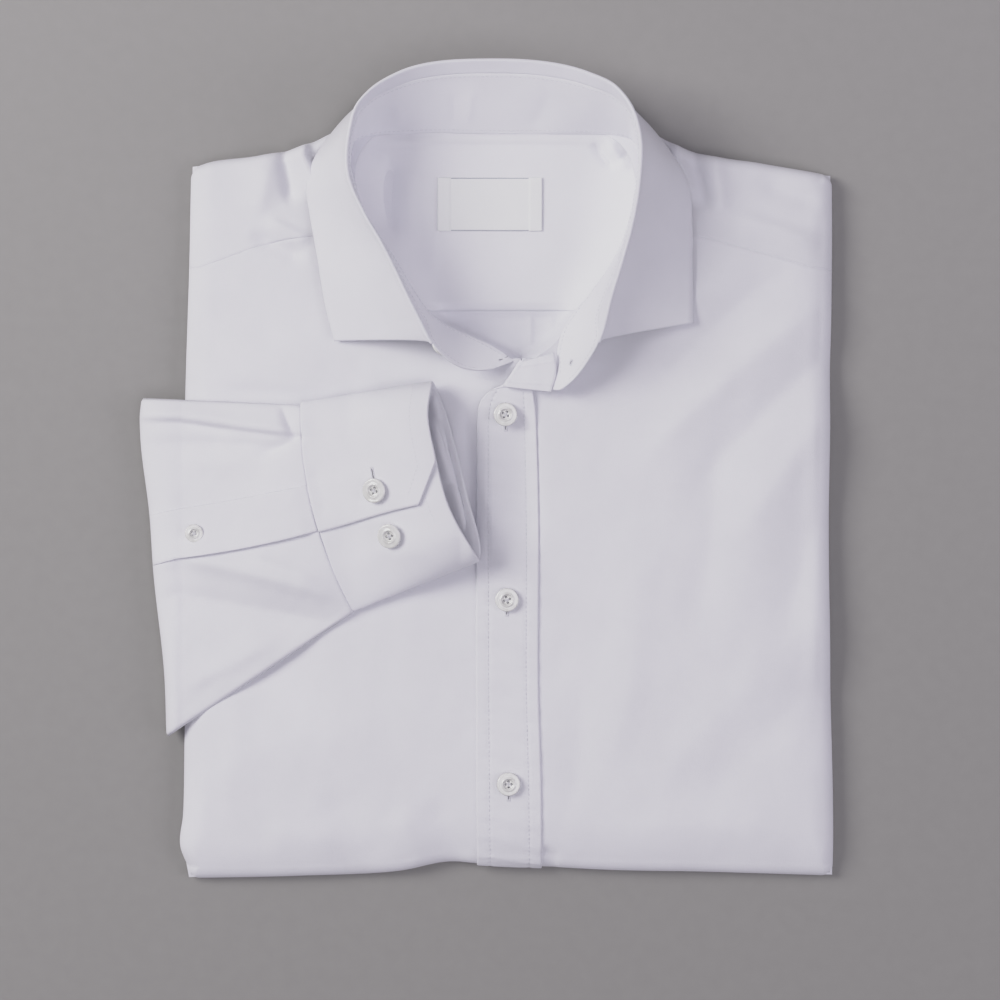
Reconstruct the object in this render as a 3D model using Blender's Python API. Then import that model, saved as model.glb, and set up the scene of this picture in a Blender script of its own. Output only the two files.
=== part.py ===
"""A folded dress shirt that lies on a table: collar up and open, one sleeve brought over the front.

Metres, +Z up. Sizes in the tables are millimetres. X runs across the shirt, +Y towards the collar.
The origin is under the middle of the shirt, on the surface that it rests on.
"""

import math
from collections import namedtuple

import bmesh
import bpy
import numpy as np
from mathutils import Matrix, Vector

MM = 0.001
MIDDLE = Vector((-0.2, 0.4, 0.0))

# Cloth thicknesses and gaps, in millimetres
CLOTH_WALL = 1.2
COLLAR_STAND_WALL = 1.6
COLLAR_LEAF_WALL = 1.3
CUFF_WALL = 1.4
TRIM_WALL = 1.0
SEAM_GAP = 0.3

# The folded body, in millimetres
EDGE_HEIGHT = 12.0
EDGE_RADIUS = 6.0
CROWN_HEIGHT = 6.5
CROWN_CENTRE = (10.0, -18.0)
CROWN_HALF_SIZE = (157.0, 181.0)
EDGE_WRAP_DEGREES = 100.0
EDGE_WRAP_STEPS = 3
LAYERS_CLEARANCE = CLOTH_WALL + SEAM_GAP + 0.25
LAYERS_TOP_INSET = 1.6
LAYERS_SIDE_INSET = 0.8
NECK_FLOOR = 8.6
NECK_SLOPE_START = 36.0
NECK_SLOPE_END = 13.0
LINING_HEIGHT = NECK_FLOOR + SEAM_GAP + CLOTH_WALL + 0.1
LINING_MARGIN = 2.0
YOKE_BACK_SEAM_Y = 77.4
LINING_BACK_Y = 161.5
BACK_FRONT_Y = 50.0

# Outline of the folded body seen from above: one row for each point where an edge bends
EdgeRow = namedtuple("EdgeRow", "along place")
LEFT_EDGE = [
    EdgeRow(-200, -141), EdgeRow(-190, -146), EdgeRow(-182, -149), EdgeRow(-165, -147.8),
    EdgeRow(-131, -147.1), EdgeRow(34, -146.8), EdgeRow(97, -144.9), EdgeRow(172, -143.6),
]
RIGHT_EDGE = [
    EdgeRow(-200, 166.8), EdgeRow(-158, 166.6), EdgeRow(-110, 165.5), EdgeRow(-38, 164.5),
    EdgeRow(34, 165), EdgeRow(102, 166), EdgeRow(172, 166),
]
BOTTOM_EDGE = [
    EdgeRow(-150, -197), EdgeRow(-91, -195.6), EdgeRow(-43, -193.1), EdgeRow(-19, -188.8),
    EdgeRow(-5, -189.6), EdgeRow(25, -191), EdgeRow(54, -192.6), EdgeRow(102, -193.6), EdgeRow(167, -195.7),
]
TOP_EDGE = [
    EdgeRow(-144, 146.3), EdgeRow(-137, 148.7), EdgeRow(-110, 152.4), EdgeRow(-86, 158.2),
    EdgeRow(-72, 165), EdgeRow(-60, 168.5), EdgeRow(0, 169), EdgeRow(60, 168.5), EdgeRow(76, 165),
    EdgeRow(90, 157.3), EdgeRow(102, 153.4), EdgeRow(131, 148.7), EdgeRow(166, 142.9),
]
YOKE_SEAM = [
    EdgeRow(-160, 96.5), EdgeRow(-143, 97), EdgeRow(-129, 101.4), EdgeRow(-109, 108.5), EdgeRow(-83, 112.8),
    EdgeRow(-66, 115), EdgeRow(73, 116.7), EdgeRow(99, 113.3), EdgeRow(130, 105.2), EdgeRow(165, 96.8),
    EdgeRow(175, 96.5),
]

# Largest folds raised in the fronts and the yoke
Ridge = namedtuple("Ridge", "start end width height")
BODY_RIDGES = [
    Ridge((152, 92), (112, 60), 7.0, 1.6),
    Ridge((60, -178), (150, -181), 6.0, 1.0),
    Ridge((-105, -178), (-62, -183), 5.0, 1.0),
    Ridge((-48, -182), (-24, -179), 4.5, 0.9),
    Ridge((-89, 154), (-82, 120), 4.5, 2.2),
    Ridge((-104, 148), (-110, 118), 6.0, 1.2),
    Ridge((100, 151), (106, 124), 4.5, 2.0),
    Ridge((114, 147), (111, 124), 4.5, 1.2),
    Ridge((156, 55), (157, -120), 5.0, 0.9),
]

# Where the fronts' grids have their lines: shares up the front, and places across it
FRONT_ROW_SHARES = (0, 0.03, 0.07, 0.13, 0.22, 0.33, 0.45, 0.57, 0.67, 0.76, 0.84, 0.91, 0.96, 1.0)
RIGHT_FRONT_COLUMNS = (-141, -126, -111, -97, -83, -71, -62, -54, -46, -38, -30, -22, -13, -3, 7, 15.6)
LEFT_FRONT_COLUMNS = (16.4, 23, 27, 31, 36, 42, 49, 56, 64, 71, 80, 91, 104, 118, 132, 146, 158)
NECK_REACH_PAST_SEAM = 12.0

# The yoke beside the neck: where each line starts at the front seam and ends at the folded top edge
YokeColumn = namedtuple("YokeColumn", "seam_x back_x")
YOKE_LEFT_COLUMNS = [
    YokeColumn(-141, -141), YokeColumn(-128, -128), YokeColumn(-114, -114), YokeColumn(-101, -101),
    YokeColumn(-91, -91), YokeColumn(-82, -84), YokeColumn(-74, -80),
]
YOKE_RIGHT_COLUMNS = [
    YokeColumn(80, 84), YokeColumn(88, 90), YokeColumn(97, 97), YokeColumn(106, 106), YokeColumn(118, 118),
    YokeColumn(132, 132), YokeColumn(146, 146), YokeColumn(158, 158),
]
YOKE_NECK_BACK_SPAN = (-77.0, 80.0)
YOKE_NECK_START_Y = (118.0, 119.0)
YOKE_ROW_SHARES = (0.0, 0.3, 0.6, 0.85, 1.0)

# Lines across the inside of the neck
LINING_ROWS = (88, 98, 108, 118, 128, 138, 148, 156)
BACK_ROWS = (56, 62, 69)
LINING_COLUMNS = 10

# The hidden layers: grid shares, and the lines down their layered edge
LAYERS_COLUMN_SHARES = (
    0, 0.05, 0.12, 0.19, 0.25, 0.3, 0.35, 0.4, 0.45, 0.5, 0.55, 0.6, 0.65, 0.7, 0.76, 0.83, 0.9, 0.96, 1,
)
LAYERS_ROW_SHARES = (0, 0.05, 0.13, 0.23, 0.34, 0.45, 0.54, 0.61, 0.67, 0.72, 0.77, 0.82, 0.87, 0.92, 0.96, 1)
LAYERS_TURN_ANGLES = (0.75, 1.35)
LayerLine = namedtuple("LayerLine", "out height")
LAYERS_EDGE_LINES = [
    LayerLine(3.6, 5.4), LayerLine(5.8, 4.2), LayerLine(5.9, 3.0), LayerLine(4.2, 2.5), LayerLine(5.8, 2.0),
    LayerLine(5.5, 0.6), LayerLine(4.2, 0.0),
]

# The neck: one row for each section of the collar, from the buttonless free end round the back
# base is where the stand meets the body, lift how far above the cloth it starts,
# rim the fold between stand and leaf, leaf the outer edge of the turned-down leaf
Section = namedtuple("Section", "base lift rim leaf")
COLLAR = [
    Section((12.4, 52.8), 1.5, (-0.7, 47.8, 26), None),
    Section((2.2, 59.5), 1.5, (-12.5, 49.2, 31), None),
    Section((-19.4, 69.5), 1.5, (-26.1, 59.9, 41), (-73.4, 62.4, 20)),
    Section((-28.0, 75.7), 1.5, (-33.1, 72.9, 44), (-76.8, 74.5, 19.5)),
    Section((-47.6, 105.0), 1.5, (-50.3, 107.8, 48), (-82.6, 107.4, 19)),
    Section((-59.2, 121.4), 1.5, (-58.3, 121.8, 49.5), (-85.5, 123.3, 18)),
    Section((-65.0, 139.7), 1.5, (-65.3, 139.1, 50), (-87.0, 138.7, 17)),
    Section((-64.7, 154.0), 1.5, (-64.4, 160.8, 49), (-79.6, 157.4, 14)),
    Section((-60.9, 159.5), 1.5, (-61.7, 170.9, 47), (-73.2, 170.7, 8)),
    Section((-53.3, 161.8), 1.5, (-55.7, 178.8, 44), (-62.7, 180.3, 3.5)),
    Section((-40.2, 162.6), 1.5, (-43.1, 188.3, 40), (-46.8, 186.0, 2)),
    Section((1.2, 162.6), 1.5, (1.2, 195.6, 36), (1.1, 189.5, 2)),
    Section((44.0, 162.3), 1.5, (48.0, 188.4, 39), (51.0, 185.8, 2)),
    Section((56.0, 161.3), 1.5, (59.2, 181.3, 43), (66.5, 178.9, 3.5)),
    Section((64.2, 158.9), 1.5, (66.1, 172.3, 46.5), (77.5, 169.2, 8)),
    Section((69.4, 153.0), 1.5, (70.2, 159.8, 49), (85.4, 156.1, 15.5)),
    Section((71.2, 138.7), 1.5, (70.2, 135.3, 50), (96.1, 134.9, 18.5)),
    Section((68.7, 122.8), 1.5, (67.8, 119.9, 50), (97.5, 116.6, 18)),
    Section((58.6, 98.6), 1.5, (61.8, 96.6, 48), (97.4, 100.2, 19)),
    Section((48.6, 84.8), 1.5, (57.7, 82.6, 46), (97.6, 85.8, 19.5)),
    Section((35.6, 66.6), 1.4, (51.7, 60.3, 41.5), (97.6, 71.0, 20)),
    Section((33.2, 58.0), 3.0, (47.1, 52.5, 37), None),
    Section((33.6, 50.2), 4.8, (41.0, 44.3, 31), None),
    Section((31.2, 39.3), 6.2, (32.6, 37.4, 26.4), None),
]
LEAF_START = 2
LEAF_END = 20
LEAF_TURN_RADIUS = 1.8
LEAF_INNER_LEG = 7.0
LEAF_FALL = 0.15
NECK_FRONT_CORNER = (30.5, 60.7)
NECK_FRONT_CORNER_INNER = (23.0, 55.0)
NECK_SECTIONS = 21
STAND_SHARES = (0.0, 0.33, 0.67, 1.0)
STAND_LEAF_STEPS = (0.1, 0.2)
LEAF_END_MARGIN = 0.04
LEAF_TURN_SHARES = (0.0, 0.33, 0.67, 1.0)
LEAF_FALL_STEPS = (0.25, 0.5, 0.75, 1.0)

# The placket: left and right edges by their place up the shirt
PLACKET_LEFT = [
    EdgeRow(-200, -4.9), EdgeRow(-170, -5.4), EdgeRow(-120, -5.6), EdgeRow(22.6, -5.5), EdgeRow(40, -5.4),
]
PLACKET_RIGHT = [
    EdgeRow(-200, 25.4), EdgeRow(-145, 24.8), EdgeRow(-110, 23.7), EdgeRow(-14, 23.6), EdgeRow(22.6, 22.6),
    EdgeRow(40, 21.8),
]
PLACKET_TURN_Y = 18.0
PLACKET_CORNER = (-4.4, 31.0)
PLACKET_ROLL_START = (4.6, 38.6)
PLACKET_ROLL_END = (22.6, 53.4)
PLACKET_FLAP_START = (29.6, 38.0)
PLACKET_FLAP_END = (31.2, 56.0)
PLACKET_ROLL_SIDE = (21.8, 36.0)
PLACKET_ROLL_RADIUS = 1.7
PLACKET_RISE = 2.2
PLACKET_FLAP_BOW = 1.6
PLACKET_FLAP_LIFT = 0.8
PLACKET_ACROSS = (0.0, 0.25, 0.5, 0.75, 1.0)
PLACKET_ROW_SHARES = (0.0, 0.05, 0.12, 0.22, 0.34, 0.46, 0.58, 0.7, 0.82, 0.92, 1.0)
PLACKET_CORNER_STEPS = (0.25, 0.5, 0.75, 1.0)
PLACKET_FLAP_STEPS = (0.3, 0.65, 1.0)

# The sleeve that comes round the side and lies over the front
SLEEVE_SEAM = ((-90.0, 33.0), (-65.4, -67.0))
SLEEVE_FOLD = ((-168.2, 34.6), (-155.4, -127.0))
SLEEVE_TURN_X = -149.0
SLEEVE_CLEARANCE = 0.6
SLEEVE_SEAM_HEIGHT = 7.5
SLEEVE_FOLD_HEIGHT = 3.8
SLEEVE_FLOOR = 0.6
SLEEVE_RIDGES = [
    Ridge((-152, 24), (-96, 17), 4.0, 1.6),
    Ridge((-104, 30), (-93, 16), 3.5, 1.4),
    Ridge((-140, -60), (-84, -62), 8.0, 1.2),
    Ridge((-150, -104), (-100, -78), 6.0, 1.0),
]
SLEEVE_ACROSS = (0.0, 0.012, 0.05, 0.12, 0.2, 0.3, 0.42, 0.54, 0.66, 0.78, 0.88, 0.95, 0.988, 1.0)
SLEEVE_ALONG = (
    0.0, 0.06, 0.14, 0.25, 0.37, 0.5, 0.63, 0.76, 0.88, 1.0, 1.12, 1.25, 1.4, 1.55, 1.7, 1.85, 2.0,
)
SLEEVE_EDGE_SHARPNESS = 10
GAUNTLET_SPAN = ((0.41, 0.35), (0.60, 0.50))
GAUNTLET_ALONG = (0.02, 0.15, 0.3, 0.45, 0.6, 0.75, 0.9, 1.0, 1.12, 1.25, 1.4)
GAUNTLET_SHARES = (0.0, 0.25, 0.5, 0.75, 1.0)
GAUNTLET_CLEARANCE = SEAM_GAP + 0.15

# The cuff: a band wound into a flattened ring, its free end over the other
CUFF_SEAM = ((-89.3, 33.2), (-64.8, -67.2))
CUFF_MOUTH_BELOW = [(-26.9, 43.0), (-20.8, 27.4), (-15.1, 7.8), (-9.3, -15.0), (-4.7, -33.0), (-4.4, -43.2)]
CUFF_MOUTH_ABOVE = [(-26.9, 43.0), (-28.9, 27.0), (-26.0, 10.0), (-20.4, -13.0), (-13.0, -29.0), (-4.4, -43.2)]
CUFF_SEAM_HEIGHT = 8.5
CUFF_MOUTH_HEIGHT = 14.0
CUFF_CLEARANCE = 0.5
CUFF_TIP_RISE = 1.8
CUFF_TIP_X = -14.0
CUFF_OVERLAP_DROP = 2.0
CUFF_UNDER_END = 0.42
CUFF_OVER_END = 0.63
CUFF_MITRE_START = 0.46
CUFF_MITRE_DEPTH = 0.17
CUFF_MITRE_STATIONS = 5
CUFF_EDGE_SHARE = 0.30
CUFF_ARCH_SHARPNESS = 2.6
CUFF_TIP_RISE_RUN = 7.0
CUFF_OVERLAP_SPAN = (0.84, 0.2)
CUFF_ALONG = (0.0, 0.2, 0.4, 0.6, 0.83, 1.0)
# Shares of the cuff's width where its ring has points: under the overlap, below, and above
CUFF_UNDER_SHARES = (CUFF_UNDER_END, 0.5, 0.6, 0.7, 0.8, 0.89, 0.96, 1.0)
CUFF_LOWER_SHARES = (0.97, 0.9, 0.78, 0.62, 0.46, 0.3, 0.16, 0.07, 0.02)
CUFF_UPPER_SHARES = (0.0, 0.03, 0.09, 0.17, 0.27, 0.37, 0.46, 0.55, CUFF_OVER_END)

LABEL_CENTRE = (0.6, 128.6)
LABEL_SIZE = (50.0, 25.5)
LABEL_WALL = 0.8
LABEL_SHARES = (0.0, 0.06, 0.12, 0.14, 0.5, 0.86, 0.88, 0.94, 1.0)
LABEL_END_SHARE = 0.12
LABEL_END_RISE = 0.5

# Buttons
FRONT_BUTTON_DIAMETER = 11.4
FRONT_BUTTON_THICKNESS = 2.6
CUFF_BUTTON_DIAMETER = 11.8
GAUNTLET_BUTTON_DIAMETER = 8.8
COLLAR_BUTTON_DIAMETER = 9.2
SMALL_BUTTON_THICKNESS = 2.2
FRONT_BUTTON_PLACES = [(8.1, 27.2), (8.8, -61.4), (9.6, -149.7)]
# Places on the cuff: share of its depth, share of its width, and how much lower its end lies there
CUFF_BUTTON_PLACES = ((0.47, 0.475, 0.0), (0.47, 0.74, 0.8))
FIRST_BUTTON_RISE = 1.4
GAUNTLET_BUTTON_PLACE = (0.87, 0.44)
# Section of the collar, and share up the stand
COLLAR_BUTTON_PLACE = (1.8, 0.72)
BUTTON_SIDES = 20
# Shares of the radius and of the thickness, from the back of a button round its rim to its dish
ButtonLine = namedtuple("ButtonLine", "radius height")
BUTTON_LINES = [
    ButtonLine(0.72, -0.5), ButtonLine(1.0, -0.05), ButtonLine(1.0, 0.2), ButtonLine(0.9, 0.5),
    ButtonLine(0.74, 0.45), ButtonLine(0.6, 0.2),
]

WHITE_COTTON = (0.66, 0.655, 0.70, 1.0)
LABEL_WHITE = (0.74, 0.74, 0.75, 1.0)
PEARL = (0.68, 0.68, 0.64, 1.0)


def material(name, colour, roughness):
    made = bpy.data.materials.new(name)
    made.use_nodes = True
    shader = made.node_tree.nodes["Principled BSDF"]
    shader.inputs["Base Color"].default_value = colour
    shader.inputs["Roughness"].default_value = roughness
    shader.inputs["Metallic"].default_value = 0.0
    return made


def smooth(rows, along):
    """Value of a short table at a place between its rows, on a soft curve through them."""
    keys = np.array([row[0] for row in rows], float)
    values = np.array([row[1:] if len(row) > 2 else row[1] for row in rows], float)
    slopes = np.gradient(values, keys, axis=0)
    along = min(max(along, keys[0]), keys[-1])
    low = min(int(np.searchsorted(keys, along, side="right")) - 1, len(keys) - 2)
    step = keys[low + 1] - keys[low]
    t = (along - keys[low]) / step
    return (
        (2 * t**3 - 3 * t**2 + 1) * values[low]
        + (t**3 - 2 * t**2 + t) * step * slopes[low]
        + (3 * t**2 - 2 * t**3) * values[low + 1]
        + (t**3 - t**2) * step * slopes[low + 1]
    )


def along_points(points, share):
    """Point at a share, 0 to 1, along a soft curve through evenly keyed points."""
    rows = [(index / (len(points) - 1), *point) for index, point in enumerate(points)]
    return smooth(rows, share)


def mix(first, second, share):
    return np.asarray(first, float) * (1 - share) + np.asarray(second, float) * share


def fade(value):
    """Smooth step from 0 to 1."""
    value = min(max(value, 0.0), 1.0)
    return value * value * (3 - 2 * value)


def ridge_height(ridges, x, y):
    total = 0.0
    for ridge in ridges:
        start, end = np.array(ridge.start, float), np.array(ridge.end, float)
        run = end - start
        share = float(np.dot((x, y) - start, run) / np.dot(run, run))
        nearest = start + run * min(max(share, 0.0), 1.0)
        away = math.dist((x, y), nearest)
        total += ridge.height * math.exp(-((away / ridge.width) ** 2))
    return total


def cloth_height(x, y, ridges=()):
    """Height of the shirt's outer face over its flat part."""
    across = min(abs((x - CROWN_CENTRE[0]) / CROWN_HALF_SIZE[0]), 1.0)
    up = min(abs((y - CROWN_CENTRE[1]) / CROWN_HALF_SIZE[1]), 1.0)
    crown = CROWN_HEIGHT * (1 - across**4) * (1 - up**4)
    return EDGE_HEIGHT + crown + ridge_height(ridges, x, y)


def flat_limits(x, y):
    """Where the flat part ends and the cloth starts to turn down, on each side of a place."""
    left = smooth(LEFT_EDGE, y) + EDGE_RADIUS
    right = smooth(RIGHT_EDGE, y) - EDGE_RADIUS
    bottom = smooth(BOTTOM_EDGE, x) + EDGE_RADIUS
    top = smooth(TOP_EDGE, x) - EDGE_RADIUS
    return left, right, bottom, top


def body_point(x, y, lift=0.0, ridges=BODY_RIDGES):
    """Outer face of the shirt. Past the flat part, x and y are measured down round the edge."""
    _, _, bottom, top = flat_limits(x, y)
    flat_y = min(max(y, bottom), top)
    left, right, _, _ = flat_limits(x, flat_y)
    flat_x = min(max(x, left), right)
    past = np.array([x - flat_x, y - flat_y])
    reach = float(np.max(np.abs(past)))
    height = cloth_height(flat_x, flat_y, ridges)
    if reach < 1e-9:
        return np.array([flat_x, flat_y, height + lift])
    way = past / np.linalg.norm(past)
    angle = reach / EDGE_RADIUS
    radius = EDGE_RADIUS + lift
    out = way * radius * math.sin(angle)
    return np.array([flat_x + out[0], flat_y + out[1], height - EDGE_RADIUS + radius * math.cos(angle)])


def wrap_lengths(steps=EDGE_WRAP_STEPS, degrees=EDGE_WRAP_DEGREES):
    """Distances over the surface, past the flat part, of the rows that turn down round an edge."""
    whole = EDGE_RADIUS * math.radians(degrees)
    return [whole * (index + 1) / steps for index in range(steps)]


def placed(point):
    """A point of the tables, in metres from the origin under the middle of the shirt."""
    return (Vector(point) - MIDDLE) * MM


def cloth_solid(name, rows, wall, colour_material, closed=False, flip=False, centred=False):
    """A wall of cloth behind a grid of points, rows of equal length, in millimetres."""
    shape = bmesh.new()
    grid = [[shape.verts.new(placed(point)) for point in row] for row in rows]
    for first, second in zip(grid, grid[1:]):
        count = len(first)
        for index in range(count if closed else count - 1):
            after = (index + 1) % count
            face = (first[index], first[after], second[after], second[index])
            shape.faces.new(face[::-1] if flip else face)
    bmesh.ops.triangulate(shape, faces=shape.faces[:])
    mesh = bpy.data.meshes.new(name)
    shape.to_mesh(mesh)
    shape.free()
    mesh.materials.append(colour_material)
    made = bpy.data.objects.new(name, mesh)
    bpy.context.collection.objects.link(made)
    thick = made.modifiers.new("wall", "SOLIDIFY")
    thick.thickness = wall * MM
    thick.offset = 0.0 if centred else -1.0
    thick.use_rim = True
    mesh.shade_smooth()
    return made


def solid_from_bmesh(name, shape, colour_material):
    bmesh.ops.triangulate(shape, faces=shape.faces[:])
    bmesh.ops.recalc_face_normals(shape, faces=shape.faces[:])
    mesh = bpy.data.meshes.new(name)
    shape.to_mesh(mesh)
    shape.free()
    mesh.materials.append(colour_material)
    mesh.shade_smooth()
    made = bpy.data.objects.new(name, mesh)
    bpy.context.collection.objects.link(made)
    return made


def neck_line():
    """The neck opening seen from above, from the one front corner round the back to the other."""
    line = [np.array(section.base, float) for section in COLLAR[:NECK_SECTIONS]]
    return line + [np.array(NECK_FRONT_CORNER), np.array(NECK_FRONT_CORNER_INNER)]


def neck_outline(steps_each=3):
    """The neck opening as a closed outline with soft curves between its points."""
    points = neck_line()
    count = (len(points) - 1) * steps_each
    return [along_points(points, index / count) for index in range(count + 1)]


NECK_OUTLINE = neck_outline()


def distance_outside_neck(x, y):
    """Distance from the neck opening, less than 0 within it."""
    nearest = 1e9
    inside = False
    for first, second in zip(NECK_OUTLINE, NECK_OUTLINE[1:] + NECK_OUTLINE[:1]):
        run = second - first
        share = float(np.dot((x, y) - first, run) / max(np.dot(run, run), 1e-9))
        nearest = min(nearest, math.dist((x, y), first + run * min(max(share, 0.0), 1.0)))
        if (first[1] > y) != (second[1] > y):
            cross_x = first[0] + (y - first[1]) / (second[1] - first[1]) * (second[0] - first[0])
            inside = inside != (x < cross_x)
    return -nearest if inside else nearest


def neck_half(left_side):
    """The left or right side of the neck line, as rows from its lowest y up to the back."""
    middle = len(NECK_OUTLINE) // 2
    points = NECK_OUTLINE[:middle] if left_side else NECK_OUTLINE[middle:][::-1]
    rows = []
    for x, y in points:
        if not rows or y > rows[-1][0] + 0.2:
            rows.append((y, x))
    return rows


def line_value(rows, along):
    return float(np.interp(along, [row[0] for row in rows], [row[1] for row in rows]))


def front_top(x):
    """How far up a front reaches at x: to the neck line, or else to the yoke seam."""
    left_rows = [(point[0], point[1]) for point in NECK_OUTLINE[: len(NECK_OUTLINE) // 2]]
    right_rows = [(point[0], point[1]) for point in NECK_OUTLINE[len(NECK_OUTLINE) // 2 :]]
    seam = smooth(YOKE_SEAM, x) - SEAM_GAP / 2
    if x < NECK_OUTLINE[0][0]:
        below = [row for row in left_rows if row[1] < seam + NECK_REACH_PAST_SEAM][::-1]
        return min(seam, line_value(below, x)) if x > below[0][0] else seam
    if x > NECK_FRONT_CORNER_INNER[0]:
        below = [row for row in right_rows if row[1] < seam + NECK_REACH_PAST_SEAM][::-1]
        return min(seam, line_value(below, x)) if x < below[-1][0] else seam
    return mix(NECK_OUTLINE[0], NECK_FRONT_CORNER_INNER, 0.5)[1]


def front_rows(columns, row_shares, wrap_left, wrap_right):
    """Grid of one front, turned down round the bottom and one side."""
    wraps = wrap_lengths()
    rows = []
    for row in range(-len(wraps), len(row_shares)):
        points = []
        for column in range(-len(wraps) if wrap_left else 0, len(columns) + (len(wraps) if wrap_right else 0)):
            x = columns[min(max(column, 0), len(columns) - 1)]
            _, _, bottom, _ = flat_limits(x, 0.0)
            top = front_top(x)
            y = bottom + (top - bottom) * row_shares[max(row, 0)]
            left, right, _, _ = flat_limits(x, y)
            if wrap_left and column <= 0:
                x = left
            if wrap_right and column >= len(columns) - 1:
                x = right
            if column < 0:
                x -= wraps[-column - 1]
            if column >= len(columns):
                x += wraps[column - len(columns)]
            if row < 0:
                y -= wraps[-row - 1]
            points.append(body_point(x, y))
        rows.append(points)
    return rows


def make_fronts(cotton):
    right = front_rows(RIGHT_FRONT_COLUMNS, FRONT_ROW_SHARES, True, False)
    left = front_rows(LEFT_FRONT_COLUMNS, FRONT_ROW_SHARES, False, True)
    cloth_solid("right_front", right, CLOTH_WALL, cotton)
    cloth_solid("left_front", left, CLOTH_WALL, cotton)


def make_yoke(cotton):
    """Over the shoulders: from the front seams to the folded top edge and down behind it."""
    wraps = wrap_lengths()
    middle = len(NECK_OUTLINE) // 2
    left_neck = [p for p in NECK_OUTLINE[:middle] if p[1] > YOKE_NECK_START_Y[0]]
    right_neck = [p for p in NECK_OUTLINE[middle:] if p[1] > YOKE_NECK_START_Y[1]]
    columns = [(None, *column) for column in YOKE_LEFT_COLUMNS]
    back_left, back_right = YOKE_NECK_BACK_SPAN
    neck = left_neck + right_neck
    for index, point in enumerate(neck):
        share = index / (len(neck) - 1)
        columns.append((point, None, back_left + (back_right - back_left) * share))
    columns += [(None, *column) for column in YOKE_RIGHT_COLUMNS]
    rows = []
    shares = YOKE_ROW_SHARES
    last = len(columns) - 1
    for row in range(len(shares) + len(wraps)):
        points = []
        for column in range(-len(wraps), len(columns) + len(wraps)):
            front_point, front_x, back_x = columns[min(max(column, 0), last)]
            if front_point is None:
                front_point = (front_x, smooth(YOKE_SEAM, front_x) + SEAM_GAP / 2)
            back_y = flat_limits(back_x, 0.0)[3]
            x, y = mix(front_point, (back_x, back_y), shares[min(row, len(shares) - 1)])
            left, right, _, _ = flat_limits(x, y)
            if column <= 0:
                x = left
            if column >= last:
                x = right
            if column < 0:
                x -= wraps[-column - 1]
            if column > last:
                x += wraps[column - last - 1]
            if row >= len(shares):
                y = flat_limits(x, y)[3] + wraps[row - len(shares)]
            points.append(body_point(x, y))
        rows.append(points)
    cloth_solid("yoke", rows, CLOTH_WALL, cotton)


def make_inside(cotton):
    """Yoke lining and back, whose inner faces show through the neck."""
    left_rows, right_rows = neck_half(True), neck_half(False)

    def span(y, share):
        left = line_value(left_rows, y) - LINING_MARGIN
        right = line_value(right_rows, y) + LINING_MARGIN
        return left + (right - left) * share

    shares = [index / LINING_COLUMNS for index in range(LINING_COLUMNS + 1)]
    lining = [YOKE_BACK_SEAM_Y + 2 * SEAM_GAP, *LINING_ROWS, LINING_BACK_Y]
    rows = [[(span(y, s), y, LINING_HEIGHT) for s in shares] for y in lining]
    cloth_solid("yoke_lining", rows, CLOTH_WALL, cotton)
    back = [BACK_FRONT_Y, *BACK_ROWS, YOKE_BACK_SEAM_Y]
    rows = [[(span(y, s), y, LINING_HEIGHT) for s in shares] for y in back]
    cloth_solid("back", rows, CLOTH_WALL, cotton)


def layers_height(x, y):
    """Top of the hidden layers: just under the fronts, lower inside the neck."""
    under_fronts = cloth_height(x, y) - LAYERS_CLEARANCE
    away = distance_outside_neck(x, y)
    share = fade((away - NECK_SLOPE_END) / (NECK_SLOPE_START - NECK_SLOPE_END))
    return min(under_fronts, NECK_FLOOR) * (1 - share) + under_fronts * share


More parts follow.
